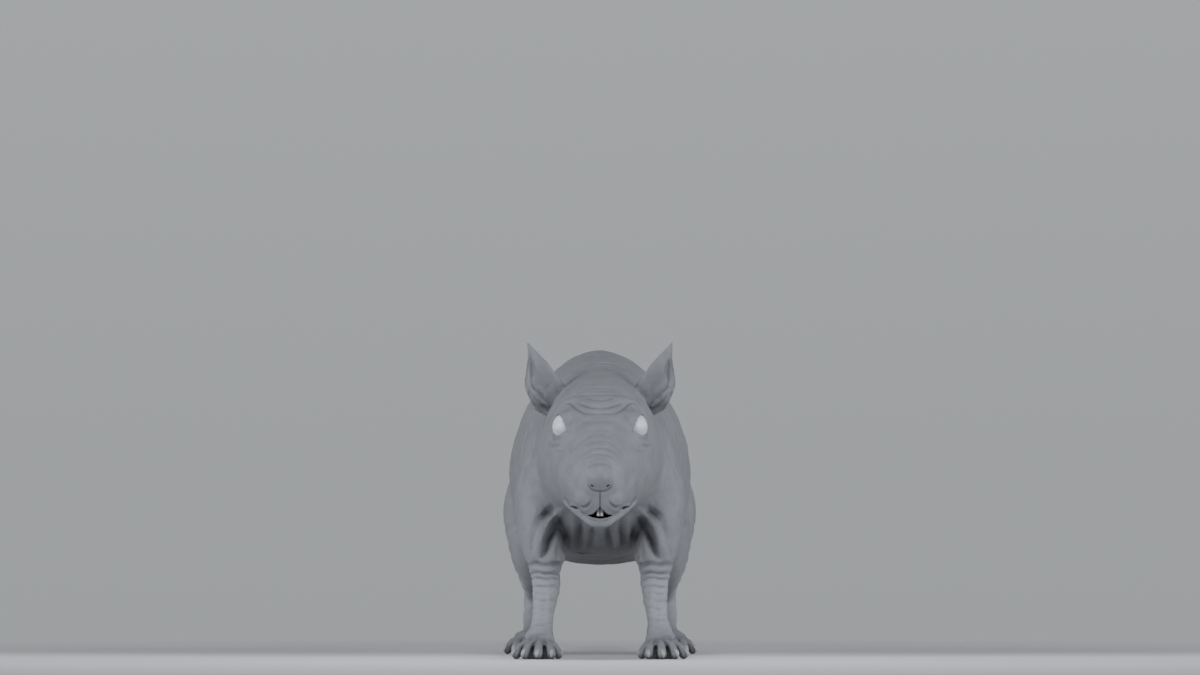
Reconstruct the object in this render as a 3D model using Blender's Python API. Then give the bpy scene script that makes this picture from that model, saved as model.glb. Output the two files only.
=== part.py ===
"""A naked house mouse standing square on four straight legs, life size.

The mouse looks along -Y and stands on Z = 0, and its left and right halves mirror each other.
Every length is in millimetres until the end, where MM turns the finished nodes to metres.
The flesh is modelled whole from lofted forms, folded like loose skin, and then parted with thin cuts.
"""

import math

import bmesh
import bpy
import numpy as np
from mathutils import Matrix, Vector

MM = 0.001
GAP = 0.3  # clear space kept between touching nodes
LENGTH_MIDDLE = 23.85  # Y half way between nose and tail tip, moved to the origin at the end

VOXEL = 0.25
FLESH_TRIANGLES = 9200
FACE_KEEP = 0.3  # how far the face is spared when the flesh is thinned out

# Body sections: Y, top Z, bottom Z, half width, Z of the widest line, fullness above it and below it
BODY_SECTIONS = [
    (-49.5, 23.9, 20.6, 1.2, 22.2, 2.0, 2.0),
    (-48.6, 25.3, 18.6, 2.5, 21.2, 2.2, 1.9),
    (-46.6, 27.2, 16.4, 3.6, 21.0, 2.2, 1.8),
    (-44.0, 29.4, 15.9, 4.6, 21.8, 2.2, 1.6),
    (-41.0, 31.8, 16.5, 5.6, 23.2, 2.1, 1.6),
    (-38.0, 33.9, 17.6, 6.5, 24.2, 2.1, 1.7),
    (-34.5, 35.6, 18.5, 7.5, 24.6, 2.1, 1.9),
    (-31.0, 36.6, 18.4, 8.0, 24.8, 2.1, 2.1),
    (-27.0, 37.1, 17.0, 7.7, 25.2, 2.1, 2.3),
    (-22.5, 37.9, 14.9, 9.0, 25.4, 2.1, 2.4),
    (-17.0, 39.2, 13.6, 10.6, 25.6, 2.0, 2.5),
    (-9.0, 41.4, 13.2, 11.9, 26.0, 2.0, 2.5),
    (-1.0, 42.4, 12.8, 12.5, 26.2, 2.0, 2.5),
    (6.0, 41.6, 12.8, 12.5, 26.0, 2.0, 2.5),
    (12.5, 39.7, 13.4, 11.7, 25.6, 2.0, 2.4),
    (18.5, 36.2, 15.2, 9.8, 25.0, 2.0, 2.2),
    (23.0, 31.8, 17.8, 6.9, 24.4, 2.0, 2.0),
    (26.2, 27.4, 20.6, 3.4, 24.0, 2.0, 2.0),
]

# Left limbs from root to tip: X, Y, Z of the middle line, half width across, half width fore and aft
FRONT_LEG = [
    (6.6, -17.5, 27.0, 3.6, 6.0),
    (7.9, -20.5, 20.8, 3.4, 5.2),
    (7.8, -22.8, 15.6, 2.75, 3.6),
    (7.3, -24.6, 12.0, 2.1, 2.5),
    (7.1, -25.6, 8.8, 1.8, 1.85),
    (7.4, -26.6, 5.9, 1.42, 1.42),
    (7.6, -27.4, 4.0, 1.45, 1.3),
    (7.85, -28.3, 2.3, 2.3, 1.15),
]
HIND_LEG = [
    (6.9, 13.0, 24.5, 5.4, 7.6),
    (8.8, 11.3, 20.2, 5.1, 6.8),
    (9.6, 9.5, 14.8, 3.3, 4.2),
    (9.7, 12.4, 11.8, 2.2, 2.8),
    (9.4, 16.6, 9.8, 1.6, 2.0),
    (9.3, 19.0, 7.8, 1.5, 1.55),
    (9.4, 17.2, 5.2, 1.3, 1.2),
    (9.8, 14.4, 3.1, 1.4, 1.05),
    (10.6, 12.2, 2.0, 2.3, 0.95),
]
TAIL = [
    (0.0, 20.0, 26.0, 3.4, 3.4),
    (0.0, 25.0, 23.8, 2.5, 2.5),
    (0.0, 32.0, 21.0, 1.8, 1.8),
    (0.0, 44.0, 18.4, 1.45, 1.45),
    (0.0, 58.0, 17.2, 1.2, 1.2),
    (0.0, 72.0, 17.4, 0.98, 0.98),
    (0.0, 86.0, 18.8, 0.74, 0.74),
    (0.0, 98.2, 20.6, 0.36, 0.36),
]

# Where the body is parted, in the flesh's own frame
TAIL_CUTS = [27.5, 52.0, 76.0]
TAIL_ROOM = 9.0  # half width of the blocks that part the tail
FAR = 100.0  # past the flesh on every side
NECK_FRONT = -27.4
HEAD_FLOOR = 13.5
LIMB_BLOCKS = [
    ("forepaw", (-60, -2), (-10, 4.2)),
    ("foreleg", (-60, 4.5), (-10, 12.4)),
    ("hind_foot", (2, -2), (40, 6.2)),
    ("shank", (2, 6.5), (40, 12.4)),
]
LIMB_ROOT_DEPTH = 4.6  # how near to the middle plane the roots of the limbs reach
LIMB_ROOT_END = 20.0  # clear of the flanks
LIMB_ROOTS = [
    ("upper_arm", (-21.4, 18.8), (7.2, 7.6)),
    ("thigh", (12.4, 19.4), (8.4, 8.2)),
]
TRUNK_BLOCKS = [
    ("neck", -40, -22.6),
    ("chest", -22.3, -8.0),
    ("abdomen", -7.7, 5.6),
]

# Toes of the left feet: X and Y of the knuckle, X and Y of the pad at the tip
FRONT_TOES = [
    ((6.3, -28.2), (5.4, -28.8)),
    ((6.7, -29.0), (6.25, -31.2)),
    ((7.8, -29.3), (7.95, -31.7)),
    ((8.9, -29.0), (9.6, -31.2)),
    ((9.7, -28.2), (10.75, -29.8)),
]
HIND_TOES = [
    ((9.1, 12.0), (8.2, 10.6)),
    ((9.6, 11.2), (9.3, 8.9)),
    ((10.6, 11.0), (10.7, 8.6)),
    ((11.6, 11.3), (12.1, 8.9)),
    ((12.2, 12.2), (13.2, 10.4)),
]
TOE_RADIUS = 0.6
PAD_RADIUS = 0.7
KNUCKLE_HEIGHT = 1.7
TOE_ARCH = 0.32  # how far a toe bends up on its way down to the pad
PAD_HEIGHT = 0.58
CLAW_LENGTH = 1.35
CLAW_RADIUS = 0.3
CLAW_DROP = 0.62

EYE_CENTRE = Vector((4.1, -39.2, 29.3))
EYE_RADIUS = 1.9
LID_THICKNESS = 0.42
LID_BLEND = 0.22  # how softly the lids run out into the face

NOSE_CENTRE = Vector((0.0, -48.9, 22.5))
NOSE_RADII = Vector((1.7, 1.7, 1.75))
NOSTRIL = Vector((0.95, -50.2, 21.5))
NOSTRIL_RADII = Vector((0.34, 0.6, 0.22))
LIP_PAD = Vector((1.55, -47.1, 20.0))
LIP_PAD_RADII = Vector((1.7, 2.0, 1.6))

# Left half of the mouth from the middle to its corner: X, Z of the upper lip, Z of the lower lip
MOUTH = [
    (0.0, 18.65, 17.35),
    (0.55, 18.4, 17.42),
    (1.15, 18.05, 17.55),
    (1.75, 18.1, 17.85),
    (2.5, 18.68, 18.5),
    (3.2, 19.08, 18.96),
]
MOUTH_RINGS = [(-53.0, 1.0), (-47.0, 1.0), (-45.5, 0.7), (-44.6, 0.35)]  # Y, share of the outline above
INCISOR_RADIUS = 0.3
INCISOR_LINE = [(-46.9, 19.3, 1.0), (-47.4, 18.5, 1.0), (-47.8, 17.95, 0.75)]  # Y, Z, share of the radius

# Left ear, seen from the front: inner and outer edge from the root to the tip, X, Y, Z
EAR_INNER_EDGE = [
    (4.4, -31.2, 35.6),
    (5.1, -31.3, 36.5),
    (6.0, -31.0, 37.4),
    (7.3, -30.2, 39.1),
    (9.3, -28.6, 41.0),
]
EAR_OUTER_EDGE = [
    (7.2, -28.6, 31.6),
    (8.6, -29.4, 32.6),
    (9.6, -29.8, 34.6),
    (9.65, -29.4, 37.2),
    (9.4, -28.6, 41.1),
]
EAR_THICKNESS = 0.55
EAR_HOLLOW = 2.4

# Left eye opening: ways from the middle of the eye to places along the lids' edge
LID_EDGE = [
    (-0.06, -0.95, -0.31),
    (0.16, -0.75, 0.42),
    (0.42, -0.35, 0.84),
    (0.62, 0.30, 0.72),
    (0.70, 0.71, 0.05),
    (0.74, 0.35, -0.58),
    (0.60, -0.25, -0.76),
    (0.30, -0.72, -0.62),
]

# Folds of the chest and shoulders: X and Z along each, half width, height (below 0 for a crease)
SHOULDER_FOLDS = [
    ([(4.6, 19.3), (5.9, 18.5), (7.1, 16.9), (7.9, 15.1), (9.0, 13.0)], 0.62, 0.6),
    ([(5.0, 17.6), (5.75, 16.0), (6.0, 14.4), (5.7, 13.0)], 0.5, 0.5),
    ([(5.4, 19.7), (6.7, 19.1), (7.7, 18.0), (8.3, 16.6), (9.2, 15.3)], 0.4, -0.35),
    ([(4.2, 18.8), (5.35, 17.6), (6.4, 16.0), (7.0, 14.3)], 0.4, -0.35),
    ([(4.6, 17.2), (4.8, 15.8), (4.9, 14.2)], 0.35, -0.3),
]
CUFF_HEIGHT = 11.4
CUFF_WIDTH = 0.5
CUFF_RISE = 0.35

SKIN_LOOK = ((0.235, 0.250, 0.268), 0.6)
EYE_LOOK = ((0.52, 0.54, 0.56), 0.25)


def smooth_rows(rows, steps):
    """Rows of numbers read from one smooth curve through the given rows."""
    rows = np.array(rows, float)
    padded = np.vstack([2 * rows[0] - rows[1], rows, 2 * rows[-1] - rows[-2]])
    out = []
    for a, b, c, d in zip(padded, padded[1:], padded[2:], padded[3:]):
        for t in np.arange(steps) / steps:
            bend = 2 * a - 5 * b + 4 * c - d
            twist = 3 * b - a - 3 * c + d
            out.append(0.5 * (2 * b + (c - a) * t + bend * t**2 + twist * t**3))
    return np.vstack([*out, rows[-1]])


def node(name, bm):
    """A mesh object made from the bmesh, linked to the scene."""
    mesh = bpy.data.meshes.new(name)
    bm.to_mesh(mesh)
    bm.free()
    piece = bpy.data.objects.new(name, mesh)
    bpy.context.scene.collection.objects.link(piece)
    return piece


def tube(name, rings):
    """A closed tube through rings of points, made from a grid that is wrapped round and filled at its ends."""
    along = len(rings) - 1
    around = len(rings[0])
    bm = bmesh.new()
    bmesh.ops.create_grid(bm, x_segments=around, y_segments=along, size=0.5)
    for vert in bm.verts:
        ring = rings[round((vert.co.y + 0.5) * along)]
        vert.co = ring[round((vert.co.x + 0.5) * around) % around]
    bmesh.ops.remove_doubles(bm, verts=bm.verts, dist=1e-5)
    bmesh.ops.holes_fill(bm, edges=[edge for edge in bm.edges if edge.is_boundary])
    bmesh.ops.recalc_face_normals(bm, faces=bm.faces)
    return node(name, bm)


def limb(name, rows, steps=5, sides=20):
    """A tube of oval rings square to its own middle line."""
    rows = smooth_rows(rows, steps)
    middles = rows[:, :3]
    runs = np.gradient(middles, axis=0)
    turns = np.linspace(0, 2 * math.pi, sides, endpoint=False)
    rings = []
    for row, run in zip(rows, runs):
        run = Vector(run).normalized()
        across = (Vector((1, 0, 0)) - run * run.x).normalized()
        fore = run.cross(across)
        rings.append(
            [Vector(row[:3]) + across * row[3] * math.cos(t) + fore * row[4] * math.sin(t) for t in turns]
        )
    return tube(name, rings)


def trunk():
    """Head, neck and body as one tube of upright rings."""
    rings = []
    for y, top, bottom, half, wide, full_above, full_below in smooth_rows(BODY_SECTIONS, 4):
        ring = []
        for turn in np.linspace(0, 2 * math.pi, 48, endpoint=False):
            side = math.cos(turn)
            rise = math.sin(turn)
            full = full_above if rise > 0 else full_below
            reach = top - wide if rise > 0 else wide - bottom
            x = half * math.copysign(abs(side) ** (2 / full), side)
            z = wide + reach * math.copysign(abs(rise) ** (2 / full), rise)
            ring.append(Vector((x, y, z)))
        rings.append(ring)
    return tube("trunk", rings)


def ball(name, centre, radii, detail=16):
    """An oval ball."""
    bm = bmesh.new()
    place = Matrix.Translation(centre) @ Matrix.Diagonal((*radii, 1))
    bmesh.ops.create_uvsphere(bm, u_segments=detail, v_segments=detail // 2, radius=1, matrix=place)
    return node(name, bm)


def mirrored(piece, name):
    """A copy of the piece on the mouse's right side."""
    mesh = piece.data.copy()
    mesh.transform(Matrix.Diagonal((-1, 1, 1, 1)))
    mesh.flip_normals()
    mesh.name = name
    twin = bpy.data.objects.new(name, mesh)
    bpy.context.scene.collection.objects.link(twin)
    return twin


def settle(piece):
    """Turns the piece's modifiers into mesh."""
    shape = bpy.data.meshes.new_from_object(piece.evaluated_get(bpy.context.evaluated_depsgraph_get()))
    piece.modifiers.clear()
    old = piece.data
    piece.data = shape
    bpy.data.meshes.remove(old)
    return piece


def remove(pieces):
    """Takes the pieces out of the file."""
    for piece in pieces:
        bpy.data.objects.remove(piece)


def keep_largest(piece):
    """Keeps only the piece's largest closed surface."""
    bm = bmesh.new()
    bm.from_mesh(piece.data)
    bmesh.ops.triangulate(bm, faces=bm.faces)
    unseen = set(bm.verts)
    shells = []
    while unseen:
        shell = {unseen.pop()}
        edge_of_shell = list(shell)
        while edge_of_shell:
            for edge in edge_of_shell.pop().link_edges:
                for vert in edge.verts:
                    if vert in unseen:
                        unseen.remove(vert)
                        shell.add(vert)
                        edge_of_shell.append(vert)
        shells.append(shell)
    largest = max(shells, key=len)
    bmesh.ops.delete(bm, geom=[vert for vert in bm.verts if vert not in largest], context="VERTS")
    bm.to_mesh(piece.data)
    bm.free()
    return piece


def combine(piece, others, operation="UNION"):
    """One Boolean with a collection of closed pieces, which are then removed."""
    group = bpy.data.collections.new("joined pieces")
    for other in others:
        group.objects.link(other)
    boolean = piece.modifiers.new("join", "BOOLEAN")
    boolean.operation = operation
    boolean.operand_type = "COLLECTION"
    boolean.collection = group
    boolean.solver = "MANIFOLD"
    settle(piece)
    remove(others)
    bpy.data.collections.remove(group)
    return piece


def cut(piece, cutters):
    """Takes the closed cutters away from the piece."""
    return combine(piece, cutters, "DIFFERENCE")


def part_off(body, name, shape, *sizes):
    """Parts what lies inside the shape from the body as a new piece, with the gap left between the two."""
    taken = bpy.data.objects.new(name, body.data.copy())
    bpy.context.scene.collection.objects.link(taken)
    combine(taken, [shape(*sizes, 0)], "INTERSECT")
    cut(body, [shape(*sizes, GAP)])
    return keep_largest(taken)


def toes(name, table, spread_from):
    """The toes of one foot, each a short tube bent down to a round pad."""
    made = []
    for number, (knuckle, tip) in enumerate(table):
        root = Vector((*spread_from, KNUCKLE_HEIGHT + 0.1)).lerp(Vector((*knuckle, KNUCKLE_HEIGHT)), 0.35)
        middle = Vector((*knuckle, KNUCKLE_HEIGHT))
        pad = Vector((*tip, PAD_HEIGHT))
        over = middle.lerp(pad, 0.6) + Vector((0, 0, TOE_ARCH))
        end = pad + (pad - middle).normalized() * PAD_RADIUS * 0.6
        rows = [
            (*root, TOE_RADIUS, TOE_RADIUS),
            (*middle, TOE_RADIUS, TOE_RADIUS),
            (*over, TOE_RADIUS, TOE_RADIUS),
            (*pad, PAD_RADIUS, PAD_RADIUS),
            (*end, 0.3, 0.3),
        ]
        made.append(limb(f"{name} toe {number}", rows, steps=4, sides=12))
        made.append(ball(f"{name} pad {number}", pad, (PAD_RADIUS,) * 3, detail=12))
    return made


def claws(name, table):
    """The claws of one foot, each a curved spike rooted in the top of its toe."""
    made = []
    for number, (knuckle, tip) in enumerate(table):
        way = (Vector((*tip, 0)) - Vector((*knuckle, 0))).normalized()
        root = Vector((*tip, PAD_HEIGHT + 0.5)) - way * 0.1
        rows = []
        for part in (0, 0.35, 0.7, 1):
            place = root + way * CLAW_LENGTH * part - Vector((0, 0, CLAW_DROP * part**2))
            radius = CLAW_RADIUS * (1 - part) + 0.08
            rows.append((*place, radius * 0.8, radius))
        made.append(limb(f"{name} claw {number}", rows, steps=1, sides=6))
    return made


def mesh_points(mesh):
    """The mesh's corners and their normals as two arrays."""
    points = np.empty(len(mesh.vertices) * 3)
    normals = np.empty(len(mesh.vertices) * 3)
    mesh.vertices.foreach_get("co", points)
    mesh.vertex_normals.foreach_get("vector", normals)
    return points.reshape(-1, 3), normals.reshape(-1, 3)


def bell(distance, width):
    """1 at no distance, falling smoothly to 0 a little past the width."""
    return np.exp(-((distance / width) ** 2))


def from_line(across, up, line):
    """Distance of each point, seen from the front, to a line through the given places."""
    nearest = np.full(len(across), np.inf)
    for (x0, z0), (x1, z1) in zip(line, line[1:]):
        run = (x1 - x0) ** 2 + (z1 - z0) ** 2
        t = np.clip(((across - x0) * (x1 - x0) + (up - z0) * (z1 - z0)) / run, 0, 1)
        away = np.hypot(across - x0 - t * (x1 - x0), up - z0 - t * (z1 - z0))
        nearest = np.minimum(nearest, away)
    return nearest


def fold_skin(flesh):
    """Raises lids, lips and folds on the smooth flesh."""
    points, normals = mesh_points(flesh.data)
    x, y, z = np.abs(points[:, 0]), points[:, 1], points[:, 2]
    face = y < -40
    front = np.clip(-normals[:, 1] * 1.6, 0, 1)
    push = np.zeros(len(points))

    philtrum = from_line(x, z, [(0, 20.6), (0, 18.4)])
    push -= np.where(face, 0.35 * bell(philtrum, 0.3) * front, 0)
    lip_line = from_line(x, z, [(a, (b + c) / 2) for a, b, c in MOUTH])
    push -= np.where(face, 0.3 * bell(lip_line, 0.35) * front, 0)

    chest = (y > -31) & (y < -12)
    for line, width, height in SHOULDER_FOLDS:
        push += np.where(chest, height * bell(from_line(x, z, line), width) * front, 0)
    leg = (x > 4) & (z < 13.5)
    push += np.where(leg & (y < -15), CUFF_RISE * bell(z - CUFF_HEIGHT, CUFF_WIDTH), 0)

    points += normals * push[:, None]
    cover = EYE_RADIUS + GAP + LID_THICKNESS
    for side in (1, -1):
        outward = points - np.array([EYE_CENTRE.x * side, EYE_CENTRE.y, EYE_CENTRE.z])
        away = np.linalg.norm(outward, axis=1)
        raised = LID_BLEND * np.log1p(np.exp((cover - away) / LID_BLEND))
        near = (away < 2 * cover) & (normals[:, 0] * side > -0.3)
        points[near] += (outward / away[:, None] * raised[:, None])[near]
    flesh.data.vertices.foreach_set("co", points.ravel())
    flesh.data.update()


def make_flesh():
    """The whole mouse without ears, eyes, claws and the free length of the tail."""
    flesh = trunk()
    limbs = [limb("front leg", FRONT_LEG), limb("hind leg", HIND_LEG)]
    limbs += toes("front", FRONT_TOES, (7.8, -27.6))
    limbs += toes("hind", HIND_TOES, (10.2, 13.4))
    pads = [ball("lip pad", LIP_PAD, LIP_PAD_RADII)]
    pieces = limbs + pads
    pieces += [mirrored(piece, piece.name + " right") for piece in limbs + pads]
    pieces.append(ball("nose", NOSE_CENTRE, NOSE_RADII))
    pieces.append(limb("tail root", [row for row in TAIL if row[1] < 45]))
    combine(flesh, pieces)

    remesh = flesh.modifiers.new("even mesh", "REMESH")
    remesh.mode = "VOXEL"
    remesh.voxel_size = VOXEL
    settle(flesh)

    points, _ = mesh_points(flesh.data)
    soft = flesh.vertex_groups.new(name="soft")
    fine = flesh.vertex_groups.new(name="fine")
    bulk = np.clip((points[:, 2] - 4) / 4, 0.05, 1) * np.clip((points[:, 1] + 51) / 12, 0.3, 1)
    keep = FACE_KEEP * np.clip((-36 - points[:, 1]) / 4, 0, 1)
    for number, (softness, spare) in enumerate(zip(bulk, keep)):
        soft.add([number], float(softness), "REPLACE")
        fine.add([number], float(1 - spare), "REPLACE")
    smooth = flesh.modifiers.new("blend roots", "SMOOTH")
    smooth.factor = 0.5
    smooth.iterations = 22
    smooth.vertex_group = "soft"
    settle(flesh)
    fold_skin(flesh)

    thin = flesh.modifiers.new("fewer faces", "DECIMATE")
    thin.ratio = FLESH_TRIANGLES / (2 * len(flesh.data.polygons))
    thin.vertex_group = "fine"
    settle(flesh)
    return keep_largest(flesh)


def ear(name):
    """The left ear: a bent leaf between its two edges, hollow towards the front and thin at the tip."""
    inner = smooth_rows(EAR_INNER_EDGE, 3)
    outer = smooth_rows(EAR_OUTER_EDGE, 3)
    rings = []
    for number, (start, end) in enumerate(zip(inner, outer)):
        t = number / (len(inner) - 1)
        front = []
        back = []
        for u in np.linspace(0, 1, 8):
            hollow = EAR_HOLLOW * (1 - 0.8 * t) * math.sin(math.pi * u**1.3) ** 0.8
            place = Vector(start).lerp(Vector(end), u) + Vector((0.15, 1.0, -0.1)) * hollow
            thick = EAR_THICKNESS * (1 - 0.6 * t**4) * (0.75 + 0.25 * math.sin(math.pi * u))
            front.append(place)
            back.append(place + Vector((0.15, 1.0, -0.1)) * thick)
        rings.append(front + back[::-1])
    return tube(name, rings)


def mouth_cutter():
    """The space of the slightly open mouth, ahead of the lips and narrowing behind them."""
    rings = []
    right = [(-x, top, low) for x, top, low in MOUTH[:0:-1]]
    outline = right + MOUTH
    middle = (MOUTH[0][1] + MOUTH[0][2]) / 2
    for y, shrink in MOUTH_RINGS:
        over = [Vector((x * shrink, y, middle + (top - middle) * shrink)) for x, top, low in outline]
        under = [Vector((x * shrink, y, middle + (low - middle) * shrink)) for x, top, low in outline[::-1]]
        rings.append(over + under)
    return tube("mouth space", rings)


def incisors():
    """Two upper incisors, rooted in the roof of the mouth."""
    made = []
    for side in (1, -1):
        rows = []
        for y, z, part in INCISOR_LINE:
            radius = INCISOR_RADIUS * part
            rows.append((side * (INCISOR_RADIUS + 0.03), y, z, radius, radius * 0.8))
        made.append(limb("incisor", rows, steps=2, sides=8))
    return made


def lid_cutter():
    """The opening between the lids of the left eye, widening outward from the middle of the eye."""
    edge = smooth_rows(LID_EDGE + LID_EDGE[:1], 3)[:-1]
    rings = [[EYE_CENTRE + Vector(way) * reach for way in edge] for reach in (0.8, EYE_RADIUS * 2)]
    return tube("lid opening", rings)


def block(low, high, grow=0):
    """A box between two corners, grown by a gap all round."""
    size = Vector(high) - Vector(low) + Vector((grow, grow, grow)) * 2
    bm = bmesh.new()
    place = Matrix.Translation((Vector(low) + Vector(high)) / 2) @ Matrix.Diagonal((*size, 1))
    bmesh.ops.create_cube(bm, size=1, matrix=place)
    return node("block", bm)


def oval(side, middle, half_sizes, grow=0):
    """An oval block from inside the body outward on one side, round the root of a limb."""
    rings = []
    for x in (LIMB_ROOT_DEPTH - grow, LIMB_ROOT_END):
        ring = []
        for turn in np.linspace(0, 2 * math.pi, 28, endpoint=False):
            y = middle[0] + (half_sizes[0] + grow) * math.cos(turn)
            z = middle[1] + (half_sizes[1] + grow) * math.sin(turn)
            ring.append(Vector((side * x, y, z)))
        rings.append(ring)
    return tube("oval", rings)


def paint(piece, name, colour, roughness):
    """A plain material of the piece's own."""
    material = bpy.data.materials.new(name)
    material.use_nodes = True
    shader = material.node_tree.nodes["Principled BSDF"]
    shader.inputs["Base Color"].default_value = (*colour, 1)
    shader.inputs["Roughness"].default_value = roughness
    shader.inputs["Metallic"].default_value = 0.0
    piece.data.materials.clear()
    piece.data.materials.append(material)


def open_head(flesh):
    """Cuts the eye sockets, the openings between the lids, the mouth and the nostrils."""
    socket = ball("socket", EYE_CENTRE, (EYE_RADIUS + GAP,) * 3)
    opening = lid_cutter()
    nostril = ball("nostril", NOSTRIL, NOSTRIL_RADII, detail=10)
    cutters = [socket, opening, nostril]
    cutters += [mirrored(piece, piece.name + " right") for piece in cutters]
    cutters.append(mouth_cutter())
    return cut(flesh, cutters)


def make_tail():
    """The free length of the tail as one tube."""
    return limb("tail", TAIL, steps=4, sides=12)


def build():
    """Every node of the mouse, in millimetres."""
    flesh = make_flesh()
    skin_grown = bpy.data.objects.new("grown flesh", flesh.data.copy())
    bpy.context.scene.collection.objects.link(skin_grown)
    grow = skin_grown.modifiers.new("gap", "DISPLACE")
    grow.strength = GAP
    grow.mid_level = 0
    settle(skin_grown)
    nodes = {}
    ear_left = ear("ear_left")
    ear_right = mirrored(ear_left, "ear_right")
    for piece in (ear_left, ear_right):
        clear = bpy.data.objects.new("clear", skin_grown.data.copy())
        bpy.context.scene.collection.objects.link(clear)
        nodes[piece.name] = keep_largest(cut(piece, [clear]))
    remove([skin_grown])

    open_head(flesh)
    cut(flesh, [block((-FAR, -FAR, -FAR), (FAR, FAR, 0))])
    cut(flesh, [block((-TAIL_ROOM, TAIL_CUTS[0] - GAP / 2, 0), (TAIL_ROOM, FAR, FAR))])

    nodes["head"] = part_off(flesh, "head", block, (-FAR, -FAR, HEAD_FLOOR), (FAR, NECK_FRONT, FAR))
    for label, side in (("left", 1), ("right", -1)):
        low_x, high_x = sorted((side * GAP, side * FAR))
        for name, low, high in LIMB_BLOCKS:
            full_name = f"{name}_{label}"
            corners = ((low_x, *low), (high_x, *high))
            nodes[full_name] = part_off(flesh, full_name, block, *corners)
        for name, middle, half_sizes in LIMB_ROOTS:
            full_name = f"{name}_{label}"
            nodes[full_name] = part_off(flesh, full_name, oval, side, middle, half_sizes)
    for name, low_y, high_y in TRUNK_BLOCKS:
        nodes[name] = part_off(flesh, name, block, (-FAR, low_y, 0), (FAR, high_y, FAR))
    flesh.name = "rump"
    nodes["rump"] = keep_largest(flesh)

    tail = make_tail()
    cut(tail, [block((-TAIL_ROOM, 0, 0), (TAIL_ROOM, TAIL_CUTS[0] + GAP / 2, FAR))])
    for name, end in zip(("tail_base", "tail_middle"), TAIL_CUTS[1:]):
        nodes[name] = part_off(tail, name, block, (-TAIL_ROOM, 0, 0), (TAIL_ROOM, end, FAR))
    tail.name = "tail_tip"
    nodes["tail_tip"] = keep_largest(tail)

    for name, table in (("forepaw", FRONT_TOES), ("hind_foot", HIND_TOES)):
        left = claws(name, table)
        right = [mirrored(claw, claw.name + " right") for claw in left]
        keep_largest(combine(nodes[f"{name}_left"], left))
        keep_largest(combine(nodes[f"{name}_right"], right))
    keep_largest(combine(nodes["head"], incisors()))

    for label, side in (("left", 1), ("right", -1)):
        centre = Vector((side * EYE_CENTRE.x, EYE_CENTRE.y, EYE_CENTRE.z))
        nodes[f"eye_{label}"] = ball(f"eye_{label}", centre, (EYE_RADIUS,) * 3)
    return nodes


for left_over in list(bpy.data.objects):
    bpy.data.objects.remove(left_over)

for node_name, piece in build().items():
    colour, roughness = EYE_LOOK if node_name.startswith("eye") else SKIN_LOOK
    paint(piece, f"{node_name} finish", colour, roughness)
    piece.data.transform(Matrix.Scale(MM, 4) @ Matrix.Translation((0, -LENGTH_MIDDLE, 0)))
    piece.data.shade_smooth()
    piece.data.set_sharp_from_angle(angle=math.radians(50))
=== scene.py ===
"""The skin, eyes, claws and teeth of a naked house mouse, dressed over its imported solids, life size.

The flesh is shaped in millimetres in a frame of its own: the mouse looks along -Y, +X is its left side and
the floor is Z = 0. The finished pieces are moved to the model's frame and turned to metres at the end.
"""

import itertools
import math

import bmesh
import bpy
import numpy as np
from mathutils import Matrix, Vector
from mathutils.bvhtree import BVHTree


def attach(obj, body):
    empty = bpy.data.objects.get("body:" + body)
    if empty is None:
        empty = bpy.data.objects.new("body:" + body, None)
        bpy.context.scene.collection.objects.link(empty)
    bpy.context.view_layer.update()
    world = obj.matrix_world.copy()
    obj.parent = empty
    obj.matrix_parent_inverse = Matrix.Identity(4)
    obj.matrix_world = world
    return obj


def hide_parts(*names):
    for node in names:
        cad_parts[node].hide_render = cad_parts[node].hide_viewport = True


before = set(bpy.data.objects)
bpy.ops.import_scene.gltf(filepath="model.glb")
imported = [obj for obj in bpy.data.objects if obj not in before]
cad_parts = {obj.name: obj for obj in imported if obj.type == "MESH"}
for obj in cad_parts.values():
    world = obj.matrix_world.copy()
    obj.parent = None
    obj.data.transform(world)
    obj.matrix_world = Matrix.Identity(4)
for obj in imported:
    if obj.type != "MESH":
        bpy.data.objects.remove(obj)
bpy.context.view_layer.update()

MM = 0.001
LENGTH_MIDDLE = 23.85  # Y half way between nose and tail tip, moved to the origin at the end

BLEND_VOXEL = 0.3  # the first even mesh, on which the limbs' roots are blended
SKIN_VOXEL = 0.15  # the second one, which holds the folds
SKIN_TRIANGLES = 186000
FACE_KEEP = 0.85  # how far the face and paws are spared when the skin is thinned out

SHARP_ANGLE = 62  # degrees above which an edge of the skin stays sharp
SEAM_REACH = 1e-5  # points this close at the seam of a wrapped grid become one

RIM_STEP = 0.04  # points on a rim that lie closer than this become one
RIM_ANGLE = math.radians(40)  # an edge that bends further is part of a rim
RIM_FLOOR = 2.0  # height above which rims are looked for
RIM_ROUNDS = 5

# Block that cuts the flats under the feet
GROUND_MIDDLE = (0, 20, -5)
GROUND_SIZE = (80, 160, 10)

SHELTER_RAYS = 14
SHELTER_REACH = 40.0
SHELTER_START = 0.02
GOLDEN_TURN = math.pi * (3 - math.sqrt(5))
EAR_PAINTED_LIGHT = 1.6  # above 1, so that the ears' hollows are marked below 0 and their finish paints light into them
CREASE_GAIN = 0.9
MARK_ROUNDS = 3  # times that the marks are evened out between neighbours

FLOOR_FADE = 0.05  # radius in metres within which the floor is whole
FLOOR_REACH = 0.2
LENS = 85
SENSOR_WIDTH = 36
CAMERA_PLACE = (0, -0.42045, 0.00644)
CAMERA_TILT = math.radians(95.47)
LIT_PLACE = (0, 0, 0.02)  # where all the softboxes point
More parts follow.
